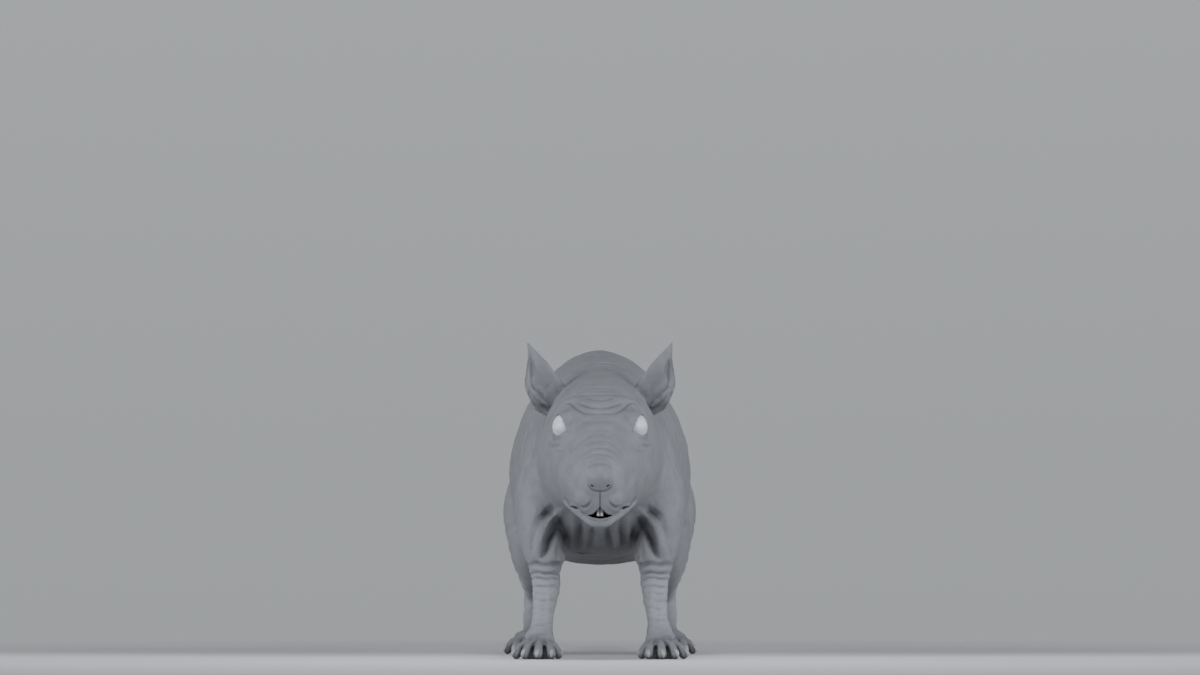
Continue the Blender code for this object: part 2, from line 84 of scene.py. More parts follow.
# Soft lights: name, place in metres, side length, power in watts
SOFTBOXES = [
    ("front softbox", (0.0, -1.08, 0.41), 0.45, 1.8),
    ("high softbox", (0.0, -0.575, 1.02), 0.45, 2.6),
    ("left softbox", (0.83, -0.7, 0.21), 0.5, 4.3),
    ("right softbox", (-0.83, -0.7, 0.21), 0.5, 4.3),
    ("left side softbox", (1.06, 0.09, 0.3), 0.5, 2.7),
    ("right side softbox", (-1.06, 0.09, 0.3), 0.5, 2.7),
]
AIR_LIGHT = "#85878a"

# Body sections: Y, top Z, bottom Z, half width, Z of the widest line, fullness above it and below it
BODY_SECTIONS = [
    (-49.5, 23.9, 20.6, 1.2, 22.2, 2.0, 2.0),
    (-48.6, 25.3, 18.6, 2.5, 21.2, 2.2, 1.9),
    (-46.6, 27.2, 16.8, 3.6, 21.0, 2.2, 1.55),
    (-44.0, 29.4, 16.2, 4.6, 21.8, 2.2, 1.45),
    (-41.0, 31.8, 16.7, 5.6, 23.2, 2.1, 1.5),
    (-38.0, 33.9, 17.6, 6.5, 24.2, 2.1, 1.7),
    (-34.5, 35.6, 18.5, 7.5, 24.6, 2.1, 1.9),
    (-31.0, 36.6, 18.4, 8.0, 24.8, 2.1, 2.1),
    (-27.0, 37.3, 17.0, 7.7, 25.2, 2.05, 2.3),
    (-22.5, 38.25, 14.9, 9.0, 25.4, 2.0, 2.4),
    (-17.0, 39.5, 13.6, 10.7, 25.6, 1.88, 2.5),
    (-9.0, 41.4, 13.2, 12.0, 26.0, 1.78, 2.5),
    (-1.0, 42.5, 12.8, 12.6, 26.0, 1.72, 2.5),
    (6.0, 41.7, 12.8, 12.6, 25.8, 1.74, 2.5),
    (12.5, 39.7, 13.4, 11.8, 25.6, 1.85, 2.4),
    (18.5, 36.2, 15.2, 9.8, 25.0, 2.0, 2.2),
    (23.0, 31.8, 17.8, 6.9, 24.4, 2.0, 2.0),
    (26.2, 27.4, 20.6, 3.4, 24.0, 2.0, 2.0),
]

# Left limbs from root to tip: X, Y, Z of the middle line, half width across, half width fore and aft
FRONT_LEG = [
    (6.6, -17.5, 27.0, 3.6, 6.0),
    (7.9, -20.5, 20.8, 3.4, 5.2),
    (7.8, -22.8, 15.6, 2.75, 3.6),
    (7.3, -24.6, 12.0, 2.1, 2.5),
    (7.1, -25.6, 8.8, 1.8, 1.85),
    (7.4, -26.6, 5.9, 1.42, 1.42),
    (7.6, -27.2, 4.0, 1.5, 1.25),
    (7.85, -27.8, 2.4, 2.25, 1.05),
]
# Flap of loose skin on the inner side of the elbow
ELBOW_FLAP = [
    (6.8, -19.5, 19.0, 1.0, 1.8),
    (6.1, -21.8, 16.6, 0.9, 1.8),
    (5.55, -23.8, 14.4, 0.9, 1.7),
    (5.4, -24.8, 13.0, 0.9, 1.4),
    (5.9, -25.0, 12.3, 0.8, 1.2),
]
HIND_LEG = [
    (6.0, 14.0, 27.2, 2.6, 4.2),
    (6.9, 13.0, 24.5, 5.4, 7.6),
    (8.8, 11.3, 20.2, 5.1, 6.8),
    (9.6, 9.5, 14.8, 3.3, 4.2),
    (9.7, 12.4, 11.8, 2.2, 2.8),
    (9.5, 16.6, 9.8, 1.65, 2.0),
    (9.6, 19.0, 7.8, 1.55, 1.55),
    (9.8, 17.2, 5.2, 1.4, 1.2),
    (9.8, 14.4, 3.1, 1.4, 1.05),
    (10.6, 12.2, 2.0, 2.3, 0.95),
]
TAIL = [
    (0.0, 20.0, 26.0, 3.4, 3.4),
    (0.0, 25.0, 23.8, 2.5, 2.5),
    (0.0, 32.0, 21.0, 1.8, 1.8),
    (0.0, 44.0, 18.4, 1.45, 1.45),
    (0.0, 58.0, 17.2, 1.2, 1.2),
    (0.0, 72.0, 17.4, 0.98, 0.98),
    (0.0, 86.0, 18.8, 0.74, 0.74),
    (0.0, 98.2, 20.6, 0.36, 0.36),
]

# Toes of the left feet: X and Y of the knuckle, X and Y of the pad at the tip
FRONT_TOES = [
    ((6.3, -28.2), (5.4, -28.8)),
    ((6.7, -29.0), (6.25, -31.2)),
    ((7.8, -29.3), (7.95, -31.7)),
    ((8.9, -29.0), (9.6, -31.2)),
    ((9.7, -28.2), (10.75, -29.8)),
]
HIND_TOES = [
    ((9.1, 12.0), (8.2, 10.6)),
    ((9.6, 11.2), (9.3, 8.9)),
    ((10.6, 11.0), (10.7, 8.6)),
    ((11.6, 11.3), (12.1, 8.9)),
    ((12.2, 12.2), (13.2, 10.4)),
]
# Pads under the palm and the sole: middle, half sizes
PALM_PADS = [
    ((7.1, -28.1, 0.95), (1.2, 1.5, 1.15)),
    ((8.7, -28.1, 0.95), (1.2, 1.5, 1.15)),
    ((10.2, 12.2, 0.9), (1.1, 1.8, 1.1)),
    ((11.4, 12.4, 0.9), (1.1, 1.7, 1.1)),
]
# Heels of the left feet, from the sole up to the shank: X, Y, Z, half width across, half width fore and aft
FRONT_HEEL = [
    (7.9, -28.3, 1.05, 1.9, 1.0),
    (7.8, -27.3, 1.7, 1.8, 1.05),
    (7.7, -26.8, 3.0, 1.4, 1.0),
]
HIND_HEEL = [
    (10.8, 12.0, 1.0, 1.9, 0.95),
    (10.5, 13.6, 1.65, 1.7, 1.0),
    (10.1, 15.2, 3.0, 1.3, 0.9),
]
TOE_RADIUS = 0.54
TOE_END_RADIUS = 0.3
TOE_ROOT_HEIGHT = 2.0
TOE_ROOT_SHARE = 0.35  # how far the toe's root lies from the middle of the foot to its knuckle
PAD_RADIUS = 0.61
KNUCKLE_HEIGHT = 1.9
TOE_ARCH = 0.32
PAD_HEIGHT = 0.58
# Course of a claw from its root, measured from the middle of the pad: ahead, outward, up, radius
CLAW_PATH = [
    (0.12, -0.04, 0.5, 0.2),
    (0.38, 0.0, 0.55, 0.25),
    (0.59, 0.06, 0.38, 0.26),
    (0.7, 0.11, 0.11, 0.22),
    (0.7, 0.13, -0.11, 0.16),
    (0.66, 0.12, -0.3, 0.07),
]
INNER_CLAW_SIZE = 0.7

EYE_CENTRE = Vector((4.1, -39.2, 29.3))
EYE_RADIUS = 1.9
LID_CLEARANCE = 0.06  # the dark line between the eye and its lids
LID_THICKNESS = 0.14
LID_BLEND = 0.36
LID_FACING = -0.3  # skin that faces further to the other side than this is no lid
LID_CUT_START = 0.8
CORNEA_RISE = 0.028
CORNEA_EDGE = 0.45

NOSE_CENTRE = Vector((0.0, -48.9, 22.5))
NOSE_RADII = Vector((1.7, 1.7, 1.75))
LIP_PAD = Vector((1.55, -47.1, 20.0))
LIP_PAD_RADII = Vector((1.7, 2.0, 1.6))
CHIN = Vector((0.0, -45.8, 16.95))
CHIN_RADII = Vector((1.15, 1.7, 0.68))

# Left half of the lower lip, from the corner to the middle: X, Y, Z, radius
LOWER_LIP = [
    (4.6, -41.0, 20.1, 0.15),
    (4.25, -42.3, 19.62, 0.3),
    (3.3, -44.5, 18.8, 0.42),
    (2.3, -45.9, 18.0, 0.46),
    (1.5, -46.5, 17.42, 0.47),
    (0.9, -46.75, 17.0, 0.5),
    (0.0, -46.8, 16.9, 0.52),
]

# Left nostril: a slit that slants down to the middle, X, Y, Z of its ends
NOSTRIL_LINE = [(1.08, -50.5, 21.36), (0.68, -50.7, 21.1)]
NOSTRIL_RADIUS = 0.13
NOSTRIL_DEPTH = 1.9
NOSTRIL_WAY = Vector((0.1, 1, 0.25))

# Left half of the mouth's middle opening, from the middle to its end: X, Z of the upper and the lower lip
MOUTH = [
    (0.0, 19.0, 17.5),
    (0.08, 18.85, 17.5),
    (0.2, 18.66, 17.51),
    (0.45, 18.46, 17.54),
    (0.8, 18.1, 17.6),
    (1.1, 17.98, 17.68),
    (1.35, 17.96, 17.8),
    (1.55, 17.95, 17.92),
]
WHOLE_MOUTH = [(-x, top, low) for x, top, low in MOUTH[:0:-1]] + MOUTH
MOUTH_LEVEL = 18.0
# Rings of the openings and of the lining, front to back: Y, share of the outline's width, share of its height
MOUTH_RINGS = [(-53.0, 1.0, 1.0), (-45.9, 1.0, 1.0), (-44.8, 0.8, 0.8), (-43.6, 0.35, 0.35)]
CORNER_RINGS = [(-50.0, 1.0, 1.0), (-44.4, 1.0, 1.0), (-43.4, 0.5, 1.0)]
LINING_RINGS = [(-46.4, 0.97, 0.97), (-45.4, 0.97, 0.97), (-44.7, 0.82, 0.82), (-43.6, 0.4, 0.4)]
LINING_TOP = 18.7
LINING_BACK = -44.0
LINING_THICKNESS = 0.05
# The slit in the corner of the mouth, where the lips part again: X, Z of its upper and lower edge
CORNER_SLIT = [
    (2.72, 18.79, 18.71),
    (2.9, 18.94, 18.76),
    (3.15, 19.06, 18.91),
    (3.42, 19.13, 19.04),
    (3.65, 19.16, 19.12),
]
LIP_LINE = [(4.3, 19.75), (3.7, 19.2), (3.3, 19.0), (2.62, 18.7), (2.0, 18.16), (1.55, 17.93), (1.3, 17.85)]
INCISOR_RADIUS = 0.2
INCISOR_GAP = 0.04
INCISOR_LINE = [(-46.7, 19.4, 1.0), (-47.2, 18.5, 1.0), (-47.45, 17.82, 0.9)]  # Y, Z, share of the radius

# Left ear: inner and outer edge from the root to the tip, X, Y, Z
EAR_INNER_EDGE = [
    (3.9, -28.8, 34.4),
    (4.9, -28.9, 36.0),
    (5.45, -29.0, 36.7),
    (6.08, -29.1, 37.45),
    (6.65, -29.1, 38.2),
    (7.4, -29.0, 39.0),
    (8.4, -28.8, 40.05),
    (9.48, -28.6, 41.3),
]
EAR_OUTER_EDGE = [
    (6.7, -28.4, 31.4),
    (7.7, -29.0, 32.0),
    (8.4, -29.5, 32.4),
    (9.1, -29.9, 33.6),
    (9.74, -30.0, 35.4),
    (9.6, -29.7, 37.2),
    (9.38, -29.1, 39.2),
    (9.5, -28.6, 41.35),
]
EAR_THICKNESS = 0.6
EAR_TAPER = 0.35
EAR_HOLLOW = 2.8
EAR_SKEW = 2.0  # above 1 the bowl is deepest behind its outer edge
EAR_BACK_WAY = Vector((0.15, 1.0, -0.1))
# Edge of the inner flap that overlaps the ear's bowl, seen from the front, X and Z
EAR_FLAP = [
    (9.3, 40.3),
    (9.1, 39.4),
    (8.86, 38.7),
    (8.62, 37.96),
    (8.5, 37.1),
    (8.72, 36.4),
    (8.95, 35.74),
    (8.9, 35.25),
    (8.54, 34.85),
    (7.89, 34.5),
    (7.38, 34.3),
    (7.0, 33.9),
    (6.5, 33.4),
    (5.9, 32.9),
]
EAR_FLAP_RISE = 0.6
EAR_FLAP_EDGE = 0.3
EAR_FLAP_FADE = 1.2  # distance over which the flap sinks back, down to the share below
EAR_FLAP_REST = 0.35
EAR_RIDGE = [(9.5, 34.6), (8.41, 33.9), (7.63, 33.4), (6.8, 32.8)]
EAR_RIDGE_RISE = 0.7
EAR_RIDGE_WIDTH = 0.42
# The ears are what lies above this height, which falls with X by the slope
EAR_ROOT_LINE = 44.0
EAR_ROOT_SLOPE = 1.35

# Parts of the skin, both sides laid on the left: limits of X, Y and Z
ANY = (-math.inf, math.inf)
EAR_PART = ((5.5, math.inf), (-32.5, -25.0), (31.2, math.inf))
EAR_ROOM = ((5.0, math.inf), (-math.inf, -25.0), (33.0, math.inf))
FACE_PART = (ANY, (-math.inf, -28.0), ANY)
CHEST_PART = (ANY, (-31.5, -10.0), (-math.inf, 22.5))
BELLY_PART = ((-math.inf, 7.0), ANY, (11.0, math.inf))
HAUNCH_PART = ((6.0, math.inf), (1.0, math.inf), (7.0, 30.0))
PAW_PART = (ANY, ANY, (1.2, 3.2))
SHIN_PART = (ANY, (-math.inf, -20.0), (3.0, 11.0))
FRONT_LEG_PART = ((4.0, math.inf), (-math.inf, -15.0), (-math.inf, 13.2))
ABOVE_ELBOW = (10.8, 12.0)  # Z over which the chest's folds set in
LEG_MIDDLE = 6.9  # X that parts the inner side of a front leg from the outer

# A fold fades at its free ends over a share of its length, and starts a part of that before its end
FOLD_FADE = 0.4
FOLD_STUB = 0.15
FOLD_REACH = 5  # widths beyond which a fold isn't felt
# The swelling beside a crease: share of its depth, and how far off and how wide it is, in the crease's widths
SWELL_RISE = 0.3
SWELL_AWAY = 2.3
SWELL_WIDTH = 1.2
FRONT_GAIN = 1.8  # the higher, the further round the sides the folds seen from the front go on

# Heights of the uneven swellings, scales and rings that aren't drawn line by line
SLACKNESS = 0.14
POCKET_RISE = 0.35
HEM_RISE = 0.18
SCALE_RISE = 0.08
STREAK_RISE = 0.045
TAIL_RING_STEP = 0.62
TAIL_RING_DEPTH = 0.035

# Places where one form runs into another without an edge: line through X, Y, Z and how far it reaches
SOFT_ROOTS = [
    ([(6.0, -28.4, 2.6), (7.0, -28.9, 2.8), (8.2, -29.0, 2.8), (9.6, -28.3, 2.6)], 1.3),
    ([(9.0, 12.4, 2.6), (10.6, 11.2, 2.7), (12.0, 12.2, 2.6)], 1.0),
    ([(7.0, -27.0, 1.7), (7.9, -26.9, 1.7), (8.8, -27.0, 1.7)], 1.1),
    ([(10.0, 13.5, 1.5), (10.8, 13.6, 1.5), (11.6, 13.5, 1.5)], 1.1),
    ([(12.0, 15.8, 24.7), (11.8, 16.9, 24.8), (11.4, 18.0, 24.8)], 2.2),
]

# Left eye opening: ways from the middle of the eye to places along the lids' edge, straight between them
LID_EDGE = [
    (-0.037, -0.954, -0.297),
    (0.157, -0.978, 0.138),
    (0.35, -0.741, 0.573),
    (0.56, -0.25, 0.775),
    (0.7, 0.35, 0.62),
    (0.77, 0.62, 0.12),
    (0.8, 0.5, -0.33),
    (0.83, -0.05, -0.54),
    (0.72, -0.4, -0.6),
    (0.516, -0.651, -0.557),
    (0.24, -0.872, -0.427),
]
LID_STEPS = 6

# Folds seen from the front: X and Z of places along the line, half width, height (below 0 for a crease)
FACE_FORMS = [
    ([(5.4, 31.8), (4.9, 32.45), (4.1, 32.95), (3.0, 32.75), (1.8, 32.3), (0, 32.1)], 0.6, 0.2),
    ([(3.3, 27.9), (3.9, 26.6), (3.4, 25.2)], 0.35, -0.06),
    ([(4.3, 25.0), (3.9, 22.9), (3.0, 21.1)], 0.4, -0.05),
]
FACE_FOLDS = [
    ([(5.17, 31.6), (4.33, 32.4), (3.68, 32.23), (2.77, 31.37), (1.76, 30.84), (0, 30.76)], 0.22, -0.095),
    ([(3.5, 32.6), (2.14, 31.97), (1.0, 31.6), (0, 31.5)], 0.2, -0.09),
    ([(2.0, 33.05), (0.9, 32.72), (0, 32.62)], 0.2, -0.1),
    ([(5.6, 32.1), (4.86, 32.95), (4.08, 33.25), (3.18, 33.42), (1.5, 33.4), (0, 33.39)], 0.2, -0.09),
    ([(3.7, 33.6), (1.78, 33.95), (0, 33.97)], 0.17, -0.09),
    ([(2.9, 34.2), (0, 34.45)], 0.17, -0.08),
    ([(2.6, 29.7), (0, 29.71)], 0.3, -0.07),
    ([(1.6, 28.3), (0, 28.66)], 0.24, -0.03),
    ([(1.9, 27.3), (0.9, 27.86), (0, 27.96)], 0.22, -0.04),
    ([(2.1, 26.3), (0.99, 26.97), (0, 27.09)], 0.2, -0.055),
    ([(2.2, 25.3), (0.99, 26.05), (0, 26.17)], 0.2, -0.06),
    ([(2.0, 24.6), (0.9, 25.28), (0, 25.39)], 0.18, -0.06),
    ([(1.7, 24.1), (0.7, 24.7), (0, 24.78)], 0.17, -0.06),
    ([(2.7, 37.1), (4.01, 35.16), (5.3, 33.4)], 0.2, -0.12),
    ([(2.2, 36.6), (3.5, 34.9), (4.9, 33.2)], 0.18, -0.09),
    ([(3.3, 35.6), (4.76, 33.96), (5.9, 32.4)], 0.2, -0.12),
    ([(3.6, 36.9), (4.6, 35.3), (5.5, 33.8)], 0.18, -0.12),
    ([(5.0, 32.9), (6.03, 31.7), (7.0, 30.0)], 0.2, -0.13),
    ([(6.9, 31.2), (7.3, 29.8), (7.6, 28.2)], 0.2, -0.1),
    ([(3.3, 34.6), (1.6, 34.95), (0, 35.0)], 0.16, -0.05),
    ([(4.4, 35.9), (5.2, 34.9), (6.08, 33.7), (6.3, 32.5), (6.8, 31.4)], 0.2, -0.15),
    ([(6.6, 27.6), (6.07, 26.94), (4.8, 26.95)], 0.25, -0.09),
    ([(6.4, 26.6), (5.2, 26.1), (4.1, 26.5)], 0.25, -0.05),
    ([(5.7, 25.0), (5.52, 23.4), (4.73, 21.79), (3.84, 20.3), (2.7, 19.2)], 0.3, -0.1),
    ([(3.9, 20.0), (3.09, 19.26), (2.46, 18.88), (1.84, 18.83), (1.35, 19.23), (0.9, 19.85)], 0.16, -0.24),
    ([(1.75, 23.4), (0.98, 24.06), (0, 24.19)], 0.24, -0.07),
    ([(1.5, 21.7), (1.25, 21.2), (0.73, 20.82), (0, 20.69)], 0.15, -0.13),
    ([(1.0, 21.1), (0.5, 21.0), (0, 20.98)], 0.1, 0.06),
    ([(0, 21.5), (0, 20.9)], 0.1, -0.08),
    ([(0, 20.9), (0, 18.4)], 0.1, -0.13),
    (LIP_LINE, 0.12, -0.22),
    ([(7.9, 27.5), (7.95, 25.6), (7.85, 24.2), (7.6, 22.8), (6.9, 21.4), (6.1, 20.5)], 0.28, 0.08),
]
# Folds from the neck down to the elbow, which push the skin straight ahead
SHOULDER_FOLDS = [
    ([(5.0, 20.0), (6.1, 19.45), (7.2, 18.6), (7.9, 17.6)], 0.42, -0.75),
    ([(3.8, 19.7), (4.9, 19.2), (6.3, 18.2), (7.25, 16.8), (7.9, 15.1), (8.6, 13.5), (9.2, 12.2)], 0.7, 0.9),
    (
        [(3.3, 19.2), (4.6, 18.6), (5.5, 17.75), (6.35, 16.4), (6.85, 15.3), (7.15, 14.0), (7.7, 12.6)],
        0.42,
        -0.85,
    ),
    ([(4.9, 17.6), (5.5, 16.3), (5.85, 15.2), (6.1, 14.0), (6.3, 12.6)], 0.55, 0.75),
    ([(5.16, 17.6), (5.0, 16.36), (4.75, 15.39), (4.6, 14.25), (4.5, 12.6)], 0.34, -0.6),
    ([(7.0, 21.2), (8.2, 20.1), (8.9, 18.6), (9.6, 16.4)], 0.6, 0.2),
]
CHEST_FOLDS = [
    ([(3.6, 18.8), (3.5, 17.0), (3.9, 15.2), (4.1, 13.4)], 0.4, 0.45),
    ([(2.0, 18.8), (1.8, 17.0), (2.1, 15.2), (2.4, 13.2)], 0.45, 0.4),
    ([(1.0, 17.8), (1.1, 16.0), (1.5, 14.6), (1.6, 13.2)], 0.3, -0.4),
    ([(0.3, 17.4), (0.4, 15.8), (0.2, 14.6), (0.3, 13.2)], 0.4, 0.35),
    ([(2.8, 18.4), (2.6, 17.0), (3.0, 15.4), (3.3, 13.6)], 0.3, -0.4),
]
CHEST_LINES = [
    ([(7.9, 22.6), (7.3, 21.3), (6.6, 20.15), (5.8, 19.55), (4.9, 19.6), (4.2, 19.3)], 0.22, -0.18),
    ([(7.6, 18.4), (8.2, 17.3), (8.8, 15.9), (9.15, 14.6), (9.35, 13.2), (9.4, 11.9)], 0.24, -0.26),
    ([(8.3, 20.0), (9.0, 18.9), (9.4, 17.6)], 0.26, -0.1),
    ([(6.9, 14.6), (7.4, 13.6), (8.1, 12.5)], 0.24, -0.16),
    ([(5.4, 14.9), (5.5, 13.6), (5.3, 12.4)], 0.22, -0.12),
    ([(5.2, 13.9), (4.9, 13.0), (4.4, 12.2)], 0.2, -0.16),
]

WRINKLE_WIDTH = 0.26
WRINKLE_DEPTH = 1.15  # times the depths below
WRINKLE_LEAN = 0.012  # how fast a wrinkle runs forward down the sides
# Wrinkles across the back: Y where each crosses the middle plane, depth
BACK_WRINKLES = [
    (-33.6, 0.05),
    (-31.2, 0.06),
    (-28.3, 0.12),
    (-25.2, 0.1),
    (-21.7, 0.16),
    (-19.4, 0.12),
    (-17.5, 0.16),
    (-15.1, 0.16),
    (-12.6, 0.12),
    (-9.8, 0.1),
    (-6.6, 0.12),
    (-3.2, 0.09),
    (0.6, 0.12),
    (4.0, 0.1),
    (7.4, 0.12),
    (10.6, 0.12),
    (13.6, 0.13),
    (16.6, 0.15),
    (19.2, 0.15),
    (21.6, 0.16),
    (23.8, 0.14),
]

# Rings of the front legs: height, half width, rise or depth, how far the inner side shows it too
LEG_RINGS = [
    (12.3, 0.26, -0.4, 0.9),
    (11.62, 0.5, 0.12, 1.0),
    (11.03, 0.2, -0.42, 1.0),
    (10.68, 0.2, 0.03, 1.0),
    (10.31, 0.18, -0.34, 0.9),
    (9.8, 0.2, -0.08, 0.8),
    (9.26, 0.18, -0.26, 0.7),
    (8.78, 0.16, -0.12, 0.4),
    (8.35, 0.17, -0.17, 0.5),
    (7.9, 0.16, -0.1, 0.3),
    (7.45, 0.18, -0.15, 0.4),
    (6.85, 0.16, -0.1, 0.3),
    (6.35, 0.16, -0.12, 0.3),
    (5.6, 0.17, -0.1, 0.3),
    (4.9, 0.17, -0.08, 0.3),
]

# Grooves between the tendons on the top of the left feet, seen from above: X and Y, width, depth
PAW_GROOVES = [
    ([(6.75, -30.6), (6.95, -29.4), (7.2, -28.4)], 0.2, -0.13),
    ([(7.3, -30.8), (7.4, -29.6), (7.5, -28.6)], 0.17, -0.1),
    ([(8.7, -30.6), (8.35, -29.4), (8.1, -28.6)], 0.2, -0.12),
    ([(9.7, -29.6), (9.1, -28.9), (8.7, -28.3)], 0.18, -0.1),
    ([(10.0, 9.2), (10.2, 10.8), (10.3, 12.2)], 0.18, -0.12),
    ([(11.4, 9.4), (11.1, 11.0), (10.9, 12.4)], 0.18, -0.12),
]

# Tendons and hollows down the front of the left leg: X and Z, half width, rise or depth
LEG_TENDONS = [
    ([(6.9, 10.4), (6.75, 7.5), (6.85, 4.6)], 0.42, 0.13),
    ([(7.6, 9.6), (7.5, 7.0), (7.55, 4.4)], 0.36, -0.06),
    ([(8.3, 10.0), (8.15, 7.2), (8.2, 4.2)], 0.38, 0.07),
]

# Slanting wrinkles of the haunch and shank, seen from the side: Y and Z of places along each, width, depth
HAUNCH_WRINKLES = [
    ([(2.4, 28.0), (5.4, 24.4), (7.2, 20.4)], 0.35, -0.14),
    ([(4.2, 29.0), (7.6, 25.0), (9.6, 20.0)], 0.35, -0.14),
    ([(3.0, 24.6), (4.8, 21.6), (5.8, 18.2)], 0.3, -0.14),
    ([(7.6, 29.2), (11.0, 25.0), (12.4, 20.0)], 0.35, -0.12),
    ([(11.4, 28.8), (14.4, 24.6), (15.2, 20.2)], 0.35, -0.12),
    ([(15.0, 27.6), (17.6, 23.8), (18.0, 20.0)], 0.35, -0.14),
    ([(4.0, 19.2), (8.4, 17.8), (13.2, 18.8)], 0.32, -0.14),
    ([(4.4, 17.4), (8.6, 15.8), (13.4, 16.8)], 0.3, -0.06),
    ([(5.0, 15.6), (9.0, 14.2), (14.2, 15.0)], 0.28, -0.06),
    ([(5.6, 13.9), (10.0, 12.6), (15.8, 13.4)], 0.24, -0.06),
    ([(7.0, 12.6), (11.4, 11.2), (17.2, 12.2)], 0.22, -0.06),
    ([(9.0, 11.3), (13.4, 10.0), (18.8, 11.2)], 0.2, -0.06),
    ([(10.8, 10.2), (15.4, 8.8), (20.2, 9.8)], 0.18, -0.06),
]


def smooth_rows(rows, steps):
    """Rows of numbers read from one smooth curve through the given rows."""
    rows = np.array(rows, float)
    padded = np.vstack([2 * rows[0] - rows[1], rows, 2 * rows[-1] - rows[-2]])
    out = []
    for a, b, c, d in zip(padded, padded[1:], padded[2:], padded[3:]):
        for t in np.arange(steps) / steps:
            bend = 2 * a - 5 * b + 4 * c - d
            twist = 3 * b - a - 3 * c + d
            out.append(0.5 * (2 * b + (c - a) * t + bend * t**2 + twist * t**3))
    return np.vstack([*out, rows[-1]])


def piece_from(name, bm):
    """A mesh object made from the bmesh, linked to the scene."""
    mesh = bpy.data.meshes.new(name)
    bm.to_mesh(mesh)
    bm.free()
    piece = bpy.data.objects.new(name, mesh)
    bpy.context.scene.collection.objects.link(piece)
    return piece


def wrapped(rings):
    """A grid wrapped round through rings of points, open at both ends."""
    along = len(rings) - 1
    around = len(rings[0])
    bm = bmesh.new()
    bmesh.ops.create_grid(bm, x_segments=around, y_segments=along, size=0.5)
    for vert in bm.verts:
        ring = rings[round((vert.co.y + 0.5) * along)]
        vert.co = ring[round((vert.co.x + 0.5) * around) % around]
    bmesh.ops.remove_doubles(bm, verts=bm.verts, dist=SEAM_REACH)
    return bm


def tube(name, rings):
    """A closed tube through rings of points."""
    bm = wrapped(rings)
    bmesh.ops.holes_fill(bm, edges=[edge for edge in bm.edges if edge.is_boundary])
    bmesh.ops.recalc_face_normals(bm, faces=bm.faces)
    return piece_from(name, bm)


def limb(name, rows, steps=6, sides=28):
    """A tube of oval rings square to its own middle line."""
    rows = smooth_rows(rows, steps)
    middles = rows[:, :3]
    runs = np.gradient(middles, axis=0)
    turns = np.linspace(0, 2 * math.pi, sides, endpoint=False)
    rings = []
    for row, run in zip(rows, runs):
        run = Vector(run).normalized()
        across = (Vector((1, 0, 0)) - run * run.x).normalized()
        fore = run.cross(across)
        rings.append(
            [Vector(row[:3]) + across * row[3] * math.cos(t) + fore * row[4] * math.sin(t) for t in turns]
        )
    return tube(name, rings)


def trunk(steps=6, sides=96):
    """Head, neck and body as one tube of upright rings."""
    rings = []
    for y, top, bottom, half, wide, full_above, full_below in smooth_rows(BODY_SECTIONS, steps):
        ring = []
        for turn in np.linspace(0, 2 * math.pi, sides, endpoint=False):
            side = math.cos(turn)
            rise = math.sin(turn)
            full = full_above if rise > 0 else full_below
            reach = top - wide if rise > 0 else wide - bottom
            x = half * math.copysign(abs(side) ** (2 / full), side)
            z = wide + reach * math.copysign(abs(rise) ** (2 / full), rise)
            ring.append(Vector((x, y, z)))
        rings.append(ring)
    return tube("trunk", rings)


def ball(name, centre, radii, detail=24):
    """An oval ball."""
    bm = bmesh.new()
    place = Matrix.Translation(centre) @ Matrix.Diagonal((*radii, 1))
    bmesh.ops.create_uvsphere(bm, u_segments=detail, v_segments=detail // 2, radius=1, matrix=place)
    return piece_from(name, bm)


def mirrored(piece, name):
    """A copy of the piece on the mouse's right side."""
    mesh = piece.data.copy()
    mesh.transform(Matrix.Diagonal((-1, 1, 1, 1)))
    mesh.flip_normals()
    mesh.name = name
    twin = bpy.data.objects.new(name, mesh)
    bpy.context.scene.collection.objects.link(twin)
    return twin


def both_sides(pieces):
    """The pieces and their mirrored copies."""
    return pieces + [mirrored(piece, piece.name + " right") for piece in pieces]


def settle(piece):
    """Turns the piece's modifiers into mesh."""
    shape = bpy.data.meshes.new_from_object(piece.evaluated_get(bpy.context.evaluated_depsgraph_get()))
    piece.modifiers.clear()
    old = piece.data
    piece.data = shape
    bpy.data.meshes.remove(old)
    return piece


def combine(piece, others, operation="UNION"):
    """One Boolean with a collection of closed pieces, which are then removed."""
    group = bpy.data.collections.new("joined pieces")
    for other in others:
        group.objects.link(other)
    boolean = piece.modifiers.new("join", "BOOLEAN")
    boolean.operation = operation
    boolean.operand_type = "COLLECTION"
    boolean.collection = group
    boolean.solver = "MANIFOLD"
    settle(piece)
    for other in others:
        bpy.data.objects.remove(other)
    bpy.data.collections.remove(group)
    return piece


def remesh(piece, voxel):
    """Gives the piece one even closed mesh."""
    even = piece.modifiers.new("even mesh", "REMESH")
    even.mode = "VOXEL"
    even.voxel_size = voxel
    return settle(piece)


def weigh(piece, name, weights):
    """A vertex group with one weight for each point."""
    group = piece.vertex_groups.new(name=name)
    for number, weight in enumerate(weights):
        group.add([number], float(weight), "REPLACE")


def soften(piece, weights, rounds):
    """Smooths the piece as far as each weight says."""
    weigh(piece, "soft", weights)
    smooth = piece.modifiers.new("soften", "SMOOTH")
    smooth.factor = 0.5
    smooth.iterations = rounds
    smooth.vertex_group = "soft"
    settle(piece)
    piece.vertex_groups.clear()
    return piece


